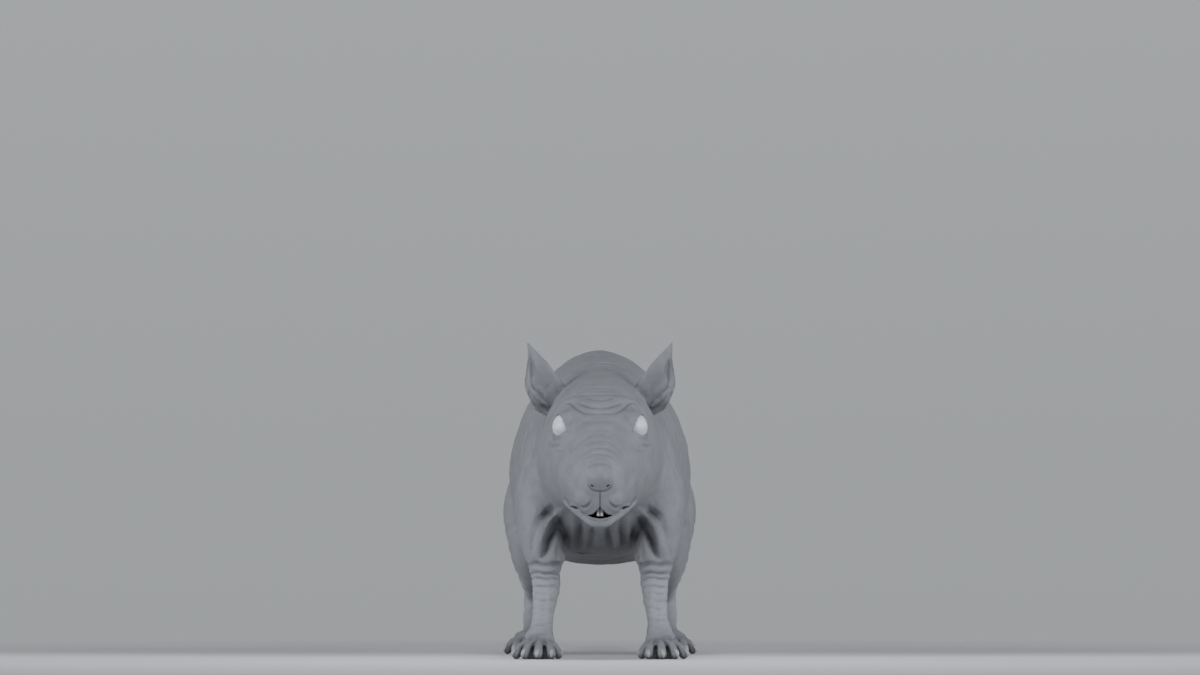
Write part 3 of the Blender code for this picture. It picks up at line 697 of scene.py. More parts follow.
def toes(name, table, spread_from):
    """The toes of one foot, each a short tube bent down to a round pad."""
    made = []
    for number, (knuckle, tip) in enumerate(table):
        middle = Vector((*knuckle, KNUCKLE_HEIGHT))
        root = Vector((*spread_from, TOE_ROOT_HEIGHT)).lerp(middle, TOE_ROOT_SHARE)
        pad = Vector((*tip, PAD_HEIGHT))
        over = middle.lerp(pad, 0.6) + Vector((0, 0, TOE_ARCH))
        end = pad + (pad - middle).normalized() * PAD_RADIUS * 0.6
        rows = [(*place, TOE_RADIUS, TOE_RADIUS) for place in (root, middle, over)]
        rows += [(*pad, PAD_RADIUS, PAD_RADIUS), (*end, TOE_END_RADIUS, TOE_END_RADIUS)]
        made.append(limb(f"{name} toe {number}", rows, steps=5, sides=20))
        made.append(ball(f"{name} pad {number}", pad, (PAD_RADIUS,) * 3, detail=20))
    return made


def points_of(mesh):
    """The mesh's corners, their normals, and X, Y and Z of the corners, with both sides laid on the left."""
    points = np.empty(len(mesh.vertices) * 3)
    normals = np.empty(len(mesh.vertices) * 3)
    mesh.vertices.foreach_get("co", points)
    mesh.vertex_normals.foreach_get("vector", normals)
    points = points.reshape(-1, 3)
    return points, normals.reshape(-1, 3), (np.abs(points[:, 0]), points[:, 1], points[:, 2])


def put_points(mesh, points):
    """Gives the mesh its moved corners."""
    mesh.vertices.foreach_set("co", points.ravel())
    mesh.update()


def within(place, part):
    """Which points lie inside a part of the body, given by its limits in X, Y and Z."""
    return np.all([(value > low) & (value < high) for value, (low, high) in zip(place, part)], axis=0)


def bell(distance, width):
    """1 at no distance, falling smoothly to 0 a little past the width."""
    return np.exp(-((distance / width) ** 2))


def ramp(value, start, end):
    """0 at the start, 1 at the end, smooth between them."""
    t = np.clip((value - start) / (end - start), 0, 1)
    return t * t * (3 - 2 * t)


def unevenness(points, size, seed):
    """Smooth random heights between -1 and 1 that change over the given size."""
    cells = points / size
    base = np.floor(cells).astype(int)
    part = cells - base
    part = part * part * (3 - 2 * part)
    table = np.random.default_rng(seed).uniform(-1, 1, (32, 32, 32))
    total = np.zeros(len(points))
    for corner in itertools.product((0, 1), repeat=3):
        index = (base + corner) % 32
        weight = np.prod(np.where(corner, part, 1 - part), axis=1)
        total += table[index[:, 0], index[:, 1], index[:, 2]] * weight
    return total


def from_line(across, up, line):
    """Distance of each point to a line in one flat view, and how far the line has faded at its free ends."""
    mirror_end = line[-1][0] == 0
    line = smooth_rows(line, 4) if len(line) > 2 else np.array(line, float)
    lengths = np.hypot(*np.diff(line, axis=0).T)
    nearest = np.full(len(across), np.inf)
    along = np.zeros(len(across))
    passed = 0.0
    for (x0, z0), (x1, z1), length in zip(line, line[1:], lengths):
        t = np.clip(((across - x0) * (x1 - x0) + (up - z0) * (z1 - z0)) / length**2, 0, 1)
        away = np.hypot(across - x0 - t * (x1 - x0), up - z0 - t * (z1 - z0))
        closer = away < nearest
        along[closer] = (passed + t * length)[closer]
        nearest = np.minimum(nearest, away)
        passed += length
    reach = FOLD_FADE * passed
    share = ramp(along, -FOLD_STUB * reach, reach)
    if not mirror_end:
        share = share * ramp(passed - along, -FOLD_STUB * reach, reach)
    return nearest, share


def fold(away, width, height):
    """Height of a fold's cross-section: a plain ridge, or a crease with a soft swelling on both sides."""
    if height > 0:
        return height * bell(away, width)
    swelling = bell(away - SWELL_AWAY * width, SWELL_WIDTH * width)
    return height * bell(away, width) - SWELL_RISE * height * swelling


def add_folds(push, region, across, up, table, strength):
    """Adds the table's folds to the push of the points of a region."""
    index = np.flatnonzero(region)
    a = across[index]
    b = up[index]
    for line, width, height in table:
        low = np.min(line, axis=0) - FOLD_REACH * width
        high = np.max(line, axis=0) + FOLD_REACH * width
        near = index[(a > low[0]) & (a < high[0]) & (b > low[1]) & (b < high[1])]
        away, share = from_line(across[near], up[near], line)
        push[near] += fold(away, width, height) * share * strength[near]


def near_line(points, line):
    """Distance of each point to a line through the given places in space."""
    line = smooth_rows(line, 4)
    return np.min([np.linalg.norm(points - place, axis=1) for place in line], axis=0)


def shape_folds(skin):
    """Works the broad folds into the smooth skin, and gives back the chest and all that isn't ear."""
    points, normals, place = points_of(skin.data)
    x, y, z = place
    ear = within(place, EAR_PART) & (z > EAR_ROOT_LINE - x * EAR_ROOT_SLOPE)
    flesh = np.where(ear, 0.0, 1.0)
    chest = within(place, CHEST_PART) & ~ear
    front = np.clip(-normals[:, 1] * FRONT_GAIN + 0.25, 0, 1)

    behind_face = ramp(y, -45, -30)
    before_tail = ramp(y, 24, 20)
    push = SLACKNESS * unevenness(points, 5.0, 3) * flesh * ramp(z, 3, 14) * behind_face * before_tail
    add_folds(push, within(place, FACE_PART) & ~ear, x, z, FACE_FORMS, front)
    add_folds(push, chest, x, z, CHEST_FOLDS, front)
    middle = ramp(x, 5.2, 4.2)
    pocket = chest * front * middle * ramp(z, 13.4, 14.4) * ramp(z, 18.5, 17)
    push += POCKET_RISE * pocket * unevenness(points * (0.9, 0.3, 0.35), 1.0, 41)
    forward = np.zeros(len(points))
    add_folds(forward, chest, x, z, SHOULDER_FOLDS, front * ramp(z, *ABOVE_ELBOW))

    points += normals * push[:, None]
    points[:, 1] -= forward
    put_points(skin.data, points)
    soften(skin, chest * ramp(z, 11, 12.5), 6)
    return chest, flesh


def shape_lids(skin):
    """Raises the lids in an even wall round each eye."""
    points, normals, _ = points_of(skin.data)
    cover = EYE_RADIUS + LID_CLEARANCE + LID_THICKNESS
    for side in (1, -1):
        outward = points - np.array([EYE_CENTRE.x * side, EYE_CENTRE.y, EYE_CENTRE.z])
        away = np.linalg.norm(outward, axis=1)
        near = (away < 2 * cover) & (normals[:, 0] * side > LID_FACING)
        raised = LID_BLEND * np.log1p(np.exp((cover - away[near]) / LID_BLEND))
        points[near] += outward[near] / away[near, None] * raised[:, None]
    put_points(skin.data, points)


def shape_wrinkles(skin, chest, flesh):
    """Works the creases, wrinkles, rings, scales and roughness into the folded skin."""
    points, normals, place = points_of(skin.data)
    x, y, z = place
    across = points[:, 0]
    push = np.zeros(len(points))
    front = np.clip(-normals[:, 1] * FRONT_GAIN + 0.35, 0, 1)
    add_folds(push, within(place, FACE_PART) & (flesh > 0), x, z, FACE_FOLDS, front)
    add_folds(push, chest, x, z, CHEST_LINES, front * ramp(z, *ABOVE_ELBOW))
    hem = within(place, BELLY_PART) * ramp(y, -24, -20) * ramp(y, 12, 6) * ramp(z, 15.5, 13.5)
    push += HEM_RISE * hem * unevenness(points * (0.35, 1.3, 1.6), 1.0, 43)

    up = np.clip(normals[:, 2] * 2, 0, 1)
    sides = np.clip(np.hypot(normals[:, 0], normals[:, 2]) * 1.4, 0, 1)
    height = np.clip((z - 20) / 20, 0, 1)
    trunk_part = flesh * ramp(y, -35, -28) * ramp(z, 17, 24) * sides
    back_or_side = trunk_part * np.where(up > 0.4, 1.0, 0.75)
    for number, (middle, depth) in enumerate(BACK_WRINKLES):
        sway = 0.8 * np.sin(z * 0.35 + number * 1.9) * (1 - height) + 0.35 * np.sin(across * 0.55 + number)
        share = 0.45 + 0.55 * np.sin(across * 0.21 + z * 0.3 + number * 2.3) ** 2
        away = y - middle - sway + WRINKLE_LEAN * x**2
        push += fold(np.abs(away), WRINKLE_WIDTH, -WRINKLE_DEPTH * depth) * back_or_side * share

    outer = np.clip(normals[:, 0] * np.sign(across) * 1.5 + 0.5, 0, 1)
    add_folds(push, within(place, HAUNCH_PART), y, z, HAUNCH_WRINKLES, outer)
    add_folds(push, within(place, PAW_PART), x, y, PAW_GROOVES, up)
    add_folds(push, within(place, SHIN_PART), x, z, LEG_TENDONS, front)

    front_leg = within(place, FRONT_LEG_PART)
    outer_side = ramp((x - LEG_MIDDLE) * 0.5, -0.6, 0.6)
    faced = np.clip(-1.4 * normals[:, 1], 0.3, 1)
    level = z - 0.12 * np.sin(y * 1.3) - 0.1 * np.sin(across * 2.1 + 0.7)
    for middle, width, rise, inner in LEG_RINGS:
        ring = rise * bell(level - middle, width) * (inner + (1 - inner) * outer_side)
        push += np.where(front_leg, ring * faced, 0)

    shank = ramp(z, 13, 11) * ramp(z, 2.0, 3.5) * flesh
    scales = unevenness(points * (0.55, 0.55, 2.3), 1.0, 23)
    scales += 0.6 * unevenness(points * (1.1, 1.1, 3.3), 1.0, 29)
    streaks = unevenness(points * (0.28, 2.1, 0.28), 1.0, 31)
    streaks += 0.5 * unevenness(points * (0.5, 3.2, 0.5), 1.0, 37)
    push += SCALE_RISE * shank * scales + STREAK_RISE * trunk_part * streaks
    tail = ramp(y, 27, 33)
    push -= TAIL_RING_DEPTH * tail * np.abs(np.sin(math.pi * y / TAIL_RING_STEP)) ** 6

    roughness = unevenness(points, 0.9, 11) * 0.02 + unevenness(points, 2.1, 17) * 0.035
    push += roughness * flesh * np.where(z < 3, 0.3, 1) * (1 - tail * 0.8)
    points += normals * push[:, None]
    put_points(skin.data, points)


def ear_relief(x, z):
    """How far the front of the ear stands forward at a place, for its flap and its lower ridge."""
    nearest = math.inf
    for start, end in zip(EAR_FLAP, EAR_FLAP[1:]):
        run = Vector(end) - Vector(start)
        reach = Vector((x, z)) - Vector(start)
        t = min(1, max(0, reach.dot(run) / run.length_squared))
        away = (reach - run * t).length
        if away < nearest:
            nearest = away
            above = run.x * reach.y - run.y * reach.x < 0
    signed = nearest if above else -nearest
    step = min(1, max(0, 0.5 + signed / EAR_FLAP_EDGE))
    fade = EAR_FLAP_REST + (1 - EAR_FLAP_REST) * math.exp(-max(0, signed) / EAR_FLAP_FADE)
    ridge, _ = from_line(np.array([x]), np.array([z]), EAR_RIDGE)
    ridge_share = float(bell(ridge, EAR_RIDGE_WIDTH)[0])
    return EAR_FLAP_RISE * step * step * (3 - 2 * step) * fade + EAR_RIDGE_RISE * ridge_share


def make_ear(steps=8, sides=40):
    """The left ear: a leaf bent between its two edges, with the inner flap laid over the bowl."""
    inner = smooth_rows(EAR_INNER_EDGE, steps)
    outer = smooth_rows(EAR_OUTER_EDGE, steps)
    along = Vector(EAR_INNER_EDGE[-1]) - Vector(EAR_INNER_EDGE[0])
    turns = np.linspace(0, math.pi, sides)
    rings = []
    for number, (start, end) in enumerate(zip(inner, outer)):
        t = number / (len(inner) - 1)
        start, end = Vector(start), Vector(end)
        rim = EAR_THICKNESS * (1 - EAR_TAPER * t) / 2
        depth = EAR_HOLLOW * (1 - t) ** 0.85 * min(1, 0.5 + 1.6 * t)
        sheet = []
        for u in 0.5 - 0.5 * np.cos(turns):
            hollow = depth * math.sin(math.pi * u**EAR_SKEW) ** 0.75
            sheet.append(start.lerp(end, u) + EAR_BACK_WAY * hollow)
        front = []
        back = []
        for turn, before, place, after in zip(turns, sheet[:1] + sheet, sheet, sheet[1:] + sheet[-1:]):
            facing = along.cross(after - before).normalized().lerp(EAR_BACK_WAY, t)
            round_rim = rim * min(1, math.sin(turn) / math.sin(0.5))
            raised = ear_relief(place.x, place.z) * min(1, math.sin(turn) / 0.4) * min(1, 3 - 3 * t)
            back.append(place + EAR_BACK_WAY * (rim + round_rim))
            front.append(back[-1] - facing * 2 * round_rim - EAR_BACK_WAY * raised)
        rings.append(front + back[-2:0:-1])
    return tube("ear", rings)


def make_skin():
    """The whole skin, from the joined forms to the folded and opened surface."""
    skin = trunk()
    limbs = [limb("front leg", FRONT_LEG), limb("elbow flap", ELBOW_FLAP), limb("hind leg", HIND_LEG)]
    limbs = both_sides(limbs)
    limbs += both_sides([ball("lip pad", LIP_PAD, LIP_PAD_RADII)])
    limbs += [ball("nose", NOSE_CENTRE, NOSE_RADII), ball("chin", CHIN, CHIN_RADII)]
    limbs.append(limb("tail", TAIL, steps=10, sides=20))
    combine(skin, limbs)
    remesh(skin, BLEND_VOXEL)
    _, _, (x, y, z) = points_of(skin.data)
    above_feet = np.clip((z - 4) / 4, 0.1, 1)
    behind_nose = np.clip((y + 51) / 12, 0.3, 1)
    soften(skin, above_feet * behind_nose * (1 - 0.9 * ramp(y, 30, 36)), 15)

    details = [make_ear(), limb("lower lip", [(*row, row[3]) for row in LOWER_LIP], steps=6, sides=20)]
    details += [ball(f"palm pad {number}", *pad) for number, pad in enumerate(PALM_PADS)]
    details += [limb("front heel", FRONT_HEEL), limb("hind heel", HIND_HEEL)]
    details += toes("front", FRONT_TOES, (7.8, -27.6))
    details += toes("hind", HIND_TOES, (10.2, 13.4))
    combine(skin, both_sides(details))
    remesh(skin, SKIN_VOXEL)
    _, _, place = points_of(skin.data)
    soften(skin, np.where(within(place, EAR_ROOM), 0.6, 1.0), 6)
    _, _, place = points_of(skin.data)
    roots = [bell(near_line(np.column_stack(place), line), width) for line, width in SOFT_ROOTS]
    soften(skin, np.max(roots, axis=0), 30)

    chest, flesh = shape_folds(skin)
    shape_lids(skin)
    shape_wrinkles(skin, chest, flesh)

    _, _, (x, y, z) = points_of(skin.data)
    low_hind = ramp(z, 16, 12) * ramp(-y, 10, 15)
    soften(skin, 0.7 * low_hind, 1)
    spare = FACE_KEEP * np.maximum(ramp(-y, 26, 32), ramp(z, 16, 12) * ramp(-y, 5, 15))
    weigh(skin, "fine", 1 - spare)
    thin = skin.modifiers.new("fewer faces", "DECIMATE")
    thin.ratio = SKIN_TRIANGLES / (2 * len(skin.data.polygons))
    thin.vertex_group = "fine"
    settle(skin)
    skin.vertex_groups.clear()
    return skin


def lid_cutter():
    """The opening between the lids of the left eye, widening outward from the middle of the eye."""
    ends = zip(LID_EDGE, LID_EDGE[1:] + LID_EDGE[:1])
    edge = [Vector(a).lerp(Vector(b), step / LID_STEPS) for a, b in ends for step in range(LID_STEPS)]
    rings = [[EYE_CENTRE + way * reach for way in edge] for reach in (LID_CUT_START, EYE_RADIUS * 2)]
    return tube("lid opening", rings)


def slit_rings(outline, steps):
    """Rings round an opening of the mouth: its outline at each Y, drawn in to a share of its size."""
    middle = (outline[0][0] + outline[-1][0]) / 2
    edge = [(x, top) for x, top, low in outline] + [(x, low) for x, top, low in outline[::-1]]
    return [
        [Vector((middle + (x - middle) * wide, y, MOUTH_LEVEL + (z - MOUTH_LEVEL) * high)) for x, z in edge]
        for y, wide, high in steps
    ]


def nostril_cutter(steps=5, sides=16):
    """The slit of the left nostril."""
    outer, inner = (Vector(end) for end in NOSTRIL_LINE)
    along = (inner - outer) / 2
    middle = (inner + outer) / 2
    up = Vector((-along.z, 0, along.x)).normalized() * NOSTRIL_RADIUS
    rings = []
    for step in np.linspace(0, 1, steps):
        back = NOSTRIL_WAY * NOSTRIL_DEPTH * step
        share = 1 - 0.4 * step**2
        ring = []
        for turn in np.linspace(0, 2 * math.pi, sides, endpoint=False):
            ring.append(middle + back + (along * 1.15 * math.cos(turn) + up * math.sin(turn)) * share)
        rings.append(ring)
    return tube("nostril", rings)


def open_skin(skin):
    """Cuts eye sockets, lids, mouth and nostrils, and the flats on which the feet stand."""
    socket = ball("socket", EYE_CENTRE, (EYE_RADIUS + LID_CLEARANCE,) * 3, detail=48)
    corner = tube("corner slit", slit_rings(CORNER_SLIT, CORNER_RINGS))
    cutters = both_sides([socket, lid_cutter(), nostril_cutter(), corner])
    cutters.append(tube("mouth space", slit_rings(WHOLE_MOUTH, MOUTH_RINGS)))
    bm = bmesh.new()
    place = Matrix.Translation(GROUND_MIDDLE) @ Matrix.Diagonal((*GROUND_SIZE, 1))
    bmesh.ops.create_cube(bm, size=1, matrix=place)
    cutters.append(piece_from("under the feet", bm))
    return combine(skin, cutters, "DIFFERENCE")


def keep_largest(piece):
    """Keeps only the piece's largest closed surface."""
    bm = bmesh.new()
    bm.from_mesh(piece.data)
    bmesh.ops.triangulate(bm, faces=bm.faces)
    unseen = set(bm.verts)
    shells = []
    while unseen:
        shell = {unseen.pop()}
        rim = list(shell)
        while rim:
            for edge in rim.pop().link_edges:
                for vert in edge.verts:
                    if vert in unseen:
                        unseen.remove(vert)
                        shell.add(vert)
                        rim.append(vert)
        shells.append(shell)
    largest = max(shells, key=len)
    bmesh.ops.delete(bm, geom=[vert for vert in bm.verts if vert not in largest], context="VERTS")
    bm.to_mesh(piece.data)
    bm.free()
    return piece


def sharp_rims(bm):
    """The points on sharp rims above the feet, each with its neighbours along the rim."""
    rims = {}
    for edge in bm.edges:
        start, end = edge.verts
        if len(edge.link_faces) == 2 and start.co.z > RIM_FLOOR and edge.calc_face_angle() > RIM_ANGLE:
            rims.setdefault(start, []).append(end)
            rims.setdefault(end, []).append(start)
    return rims


def round_rims(skin):
    """Evens out the rims that the openings leave, each along its own line, and then rounds them a little."""
    bm = bmesh.new()
    bm.from_mesh(skin.data)
    bmesh.ops.remove_doubles(bm, verts=list(sharp_rims(bm)), dist=RIM_STEP)
    for _ in range(RIM_ROUNDS):
        moved = {}
        for vert, along in sharp_rims(bm).items():
            if len(along) == 2:
                moved[vert] = vert.co / 2 + (along[0].co + along[1].co) / 4
        for vert, place in moved.items():
            vert.co = place
    weights = np.zeros(len(bm.verts))
    bm.verts.index_update()
    for vert in sharp_rims(bm):
        weights[vert.index] = 0.5
    bm.to_mesh(skin.data)
    bm.free()
    return soften(skin, weights, 1)


def edge_ends(mesh):
    """The numbers of the two points of each edge, and how many edges meet at each point."""
    ends = np.empty(len(mesh.edges) * 2, int)
    mesh.edges.foreach_get("vertices", ends)
    a, b = ends.reshape(-1, 2).T
    count = np.bincount(ends, minlength=len(mesh.vertices))
    return a, b, np.maximum(count, 1)


def evened(mesh, values):
    """The points' values after a few rounds of blending each with its neighbours."""
    a, b, count = edge_ends(mesh)
    for _ in range(MARK_ROUNDS):
        around = np.bincount(a, values[b], len(values)) + np.bincount(b, values[a], len(values))
        values = 0.5 * values + 0.5 * around / count
    return values


def store(mesh, name, values):
    """Keeps one value for each point of the mesh, for its finish to read."""
    attribute = mesh.attributes.new(name, "FLOAT", "POINT")
    attribute.data.foreach_set("value", values.astype(np.float32))


def mark_shelter(skin):
    """Stores for each point how much of the space in front of it is closed off by skin or floor nearby, for
    the skin's painted shade, turned below 0 in the ears' hollows for their painted light.
    """
    mesh = skin.data
    points, normals, (x, y, z) = points_of(mesh)
    faces = [tuple(polygon.vertices) for polygon in mesh.polygons]
    tree = BVHTree.FromPolygons(points.tolist(), faces)
    across = np.cross(normals, np.where(np.abs(normals[:, :1]) > 0.8, [[0, 1, 0]], [[1, 0, 0]]))
    across /= np.linalg.norm(across, axis=1)[:, None]
    upward = np.cross(normals, across)
    closed = np.zeros(len(points))
    starts = (points + normals * SHELTER_START).tolist()
    for number in range(SHELTER_RAYS):
        rise = math.sqrt(1 - (number + 0.5) / SHELTER_RAYS)
        turn = number * GOLDEN_TURN
        level = math.sqrt(1 - rise * rise)
        ways = normals * rise + (across * math.cos(turn) + upward * math.sin(turn)) * level
        floor_away = z / np.maximum(-ways[:, 2], 0.001)
        nearest = np.minimum(floor_away, SHELTER_REACH)
        for index, (start, way) in enumerate(zip(starts, ways.tolist())):
            distance = tree.ray_cast(start, way, SHELTER_REACH)[3]
            if distance is not None:
                nearest[index] = min(distance, nearest[index])
        closed += 1 - (nearest / SHELTER_REACH) ** 2
    closed /= SHELTER_RAYS
    ear = ramp(z, 31.5, 33.5) * ramp(x, 5.5, 7.0) * (y < -26)
    store(mesh, "shelter", evened(mesh, closed * (1 - EAR_PAINTED_LIGHT * ear)))


def mark_surface(skin):
    """Stores for each point how deep it lies in a crease, and how moist the skin is there."""
    mesh = skin.data
    points, normals, (x, y, z) = points_of(mesh)
    a, b, count = edge_ends(mesh)
    run = points[b] - points[a]
    length = np.einsum("ij,ij->i", run, run) + 1e-6
    bend_a = np.einsum("ij,ij->i", normals[a], run) / length
    bend_b = -np.einsum("ij,ij->i", normals[b], run) / length
    bend = (np.bincount(a, bend_a, len(points)) + np.bincount(b, bend_b, len(points))) / count
    store(mesh, "crease", np.clip(0.5 + CREASE_GAIN * evened(mesh, bend), 0, 1))
    nose = bell(np.hypot(x / 1.9, (z - 22.2) / 1.7), 1.0) * (y < -46)
    lips = bell(z - 18.2, 0.8) * (y < -44) * (x < 3.5)
    store(mesh, "moist", np.clip(nose + 0.5 * lips, 0, 1))


def claws(name, table):
    """The claws of one left foot, each a curved horn that hooks down over the outer side of its pad."""
    made = []
    for number, (knuckle, tip) in enumerate(table):
        way = (Vector((*tip, 0)) - Vector((*knuckle, 0))).normalized()
        out = Vector((-way.y, way.x, 0)) * (-1 if number == 0 else 1)
        pad = Vector((*tip, PAD_HEIGHT))
        size = INNER_CLAW_SIZE if number == 0 else 1.0
        rows = []
        for ahead, aside, rise, radius in CLAW_PATH:
            place = pad + (way * ahead + out * aside + Vector((0, 0, rise))) * size
            rows.append((*place, radius * size, radius * size * 0.8))
        made.append(limb(f"{name} claw {number}", rows, steps=4, sides=14))
    return made


def incisors():
    """Two upper incisors, side by side, with chisel ends."""
    made = []
    for side in (1, -1):
        rows = []
        for y, z, share in INCISOR_LINE:
            radius = INCISOR_RADIUS * share
            rows.append((side * (INCISOR_RADIUS + INCISOR_GAP / 2), y, z, radius, radius * 1.2))
        made.append(limb("incisor", rows, steps=5, sides=16))
    return made


def mouth_lining():
    """The moist lining of the mouth, a pouch just inside the opening, dark in itself and made near black as
    painted shade for the inside of the mouth.
    """
    outline = [(x, min(top, LINING_TOP), low) for x, top, low in WHOLE_MOUTH]
    bm = wrapped(slit_rings(outline, LINING_RINGS))
    back = [edge for edge in bm.edges if edge.is_boundary and all(v.co.y > LINING_BACK for v in edge.verts)]
    bmesh.ops.holes_fill(bm, edges=back)
    bmesh.ops.recalc_face_normals(bm, faces=bm.faces)
    bmesh.ops.solidify(bm, geom=bm.faces[:], thickness=LINING_THICKNESS)
    return piece_from("mouth-lining", bm)


def joined(name, pieces):
    """The pieces as one object."""
    bm = bmesh.new()
    for piece in pieces:
        bm.from_mesh(piece.data)
        bpy.data.objects.remove(piece)
    return piece_from(name, bm)


def make_eye(name, side):
    """One eyeball with the low dome of its cornea towards the front and side."""
    gaze = Vector((0.62 * side, -0.78, 0.08)).normalized()
    bm = bmesh.new()
    bmesh.ops.create_uvsphere(bm, u_segments=64, v_segments=40, radius=EYE_RADIUS)
    turn = gaze.to_track_quat("Z", "Y").to_matrix()
    for vert in bm.verts:
        height = vert.co.z / EYE_RADIUS
        vert.co *= 1 + CORNEA_RISE * max(0, (height - CORNEA_EDGE) / (1 - CORNEA_EDGE)) ** 0.8
        vert.co = turn @ vert.co + Vector((EYE_CENTRE.x * side, EYE_CENTRE.y, EYE_CENTRE.z))
    return piece_from(name, bm)


def linear(hex_colour):
    """An sRGB hex colour as linear red, green, blue and alpha."""
    channels = [int(hex_colour[i : i + 2], 16) / 255 for i in (1, 3, 5)]
    return (*[c / 12.92 if c <= 0.04045 else ((c + 0.055) / 1.055) ** 2.4 for c in channels], 1)


def add(tree, kind, settings=None, **links):
    """A shader node with its settings and its inputs, each a value or another node's output."""
    node = tree.nodes.new("ShaderNode" + kind)
    for name, value in (settings or {}).items():
        setattr(node, name, value)
    for name, value in links.items():
        by_number = name[0] == "i" and name[1:].isdigit()
        socket = node.inputs[int(name[1:]) if by_number else name.replace("_", " ")]
        if isinstance(value, bpy.types.NodeSocket):
            tree.links.new(value, socket)
        else:
            socket.default_value = value
    return node


def new_material(name):
    """An empty material: itself, its nodes, its Principled shader and the place that its patterns read."""
    material = bpy.data.materials.new(name)
    material.use_nodes = True
    tree = material.node_tree
    place = add(tree, "TexCoord").outputs["Object"]
    return material, tree, tree.nodes["Principled BSDF"], place


def two_toned(name, grain, tones, spread=(0, 1)):
    """A material whose colour wanders between two tones. The grain is its scale, detail and roughness."""
    material, tree, shader, place = new_material(name)
    scale, detail, roughness = grain
    noise = add(tree, "TexNoise", Vector=place, Scale=scale, Detail=detail, Roughness=roughness)
    wander = add(tree, "ValToRGB", Fac=noise.outputs["Fac"])
    for element, position, tone in zip(wander.color_ramp.elements, spread, tones):
        element.position = position
        element.color = linear(tone)
    tree.links.new(wander.outputs["Color"], shader.inputs["Base Color"])
    return material, tree, shader, place


def plain_material(name, grain, tones, roughness, ior, spread=(0, 1)):
    """A two-toned material of one gloss throughout."""
    material, _, shader, _ = two_toned(name, grain, tones, spread)
    shader.inputs["Roughness"].default_value = roughness
    shader.inputs["IOR"].default_value = ior
    return material


def bare_skin():
    """Bare mouse skin: matte, faintly oily, slate grey, finely wrinkled, with painted shade in its creases,
    hollows and lip groove, and painted light in its ears and on its shanks.
    """
    grain = (450.0, 4.0, 0.6)  # blotches of about 2 mm
    material, tree, shader, place = two_toned("bare grey skin", grain, ("#7f8287", "#8a8d92"), (0.3, 0.7))
    crease, shelter, moist = (
        add(tree, "Attribute", {"attribute_name": name}).outputs["Fac"]
        for name in ("crease", "shelter", "moist")
    )
    parts = add(tree, "SeparateXYZ", Vector=place)
    height = parts.outputs["Z"]
    beside = add(tree, "Math", {"operation": "ABSOLUTE"}, i0=parts.outputs["X"]).outputs[0]
    # Layers over the two tones: colour, strength, and the stretches over which each sets in
    layers = (
        # Painted shade darkens the creases
        ("#5d6066", 0.62, "LINEAR", [(crease, 0.5, 0.95)]),
        # Painted shade darkens skin that lies close to other skin
        ("#3a3c40", 0.8, "LINEAR", [(shelter, 0.45, 0.8)]),
        # Painted light brightens the sheltered hollows of the thin ears
        ("#c0c3c8", 0.85, "LINEAR", [(shelter, -0.15, -0.5)]),
        # Painted light makes the shanks a little paler, where the low front light falls on them
        ("#a3a6ab", 0.5, "SMOOTHSTEP", [(height, 0.003, 0.006), (height, 0.013, 0.01)]),
        # Painted shade in the thin, moist groove that parts the upper lip, from the nose down to the mouth
        (
            "#424448",
            0.8,
            "LINEAR",
            [
                (beside, 0.00011, 0.00003),
                (height, 0.02085, 0.02065),
                (height, 0.0179, 0.0184),
                (parts.outputs["Y"], -0.067, -0.069),
            ],
        ),
    )
    colour = shader.inputs["Base Color"].links[0].from_socket
    for tone, share, kind, stretches in layers:
        easing = {"interpolation_type": kind}
        for value, start, end in stretches:
            part = add(tree, "MapRange", easing, Value=value, From_Min=start, From_Max=end)
            share = add(tree, "Math", {"operation": "MULTIPLY"}, i0=part.outputs[0], i1=share).outputs[0]
        colour = add(tree, "Mix", {"data_type": "RGBA"}, i0=share, i6=colour, i7=linear(tone)).outputs[2]
    tree.links.new(colour, shader.inputs["Base Color"])
    gloss = add(tree, "MapRange", Value=moist, To_Min=0.56, To_Max=0.34)
    tree.links.new(gloss.outputs["Result"], shader.inputs["Roughness"])
    shader.inputs["IOR"].default_value = 1.4
    shader.inputs["Specular IOR Level"].default_value = 0.42
    # Wrinkles about 0.4 mm apart, across the trunk and round the legs, over unevenness of 0.15 mm
    trunk_lines, leg_lines = (
        add(
            tree,
            "TexNoise",
            Vector=add(tree, "Mapping", Vector=place, Scale=scale).outputs["Vector"],
            Scale=1.0,
            Detail=3.0,
            Roughness=0.6,
        ).outputs["Fac"]
        for scale in ((400.0, 2400.0, 400.0), (700.0, 700.0, 2600.0))
    )
    on_leg = add(tree, "MapRange", Value=height, From_Min=0.017, From_Max=0.01).outputs["Result"]
    wrinkle = add(tree, "Mix", i0=on_leg, i2=trunk_lines, i3=leg_lines).outputs[0]
    fine = add(tree, "TexNoise", Vector=place, Scale=6500.0, Detail=2.0).outputs["Fac"]
    relief = add(tree, "Math", {"operation": "MULTIPLY_ADD"}, i0=fine, i1=0.25, i2=wrinkle).outputs["Value"]
    bump = add(tree, "Bump", Strength=0.75, Distance=0.00012, Height=relief)
    tree.links.new(bump.outputs["Normal"], shader.inputs["Normal"])
    return material


def clouded_eye():
    """A clouded eyeball: milky white tissue under a dull moist surface, with faint grey veils of 1 mm."""
    tones = ("#b4b7ba", "#bfc2c5")
    return plain_material("clouded milky eye", (900.0, 5.0, 0.65), tones, 0.5, 1.376, (0.35, 0.65))


def claw_horn():
    """Claw keratin: pale horn with fine streaks of 0.4 mm, smooth and faintly glossy."""
    return plain_material("pale claw keratin", (2500.0, 3.0, 0.5), ("#8e9092", "#a4a5a6"), 0.35, 1.55)


def enamel():
    """Tooth enamel: hard, pale and glossy, with streaks of 0.3 mm a little yellower."""
    return plain_material("incisor enamel", (3000.0, 2.0, 0.5), ("#c4c3c0", "#d6d5d2"), 0.22, 1.62)


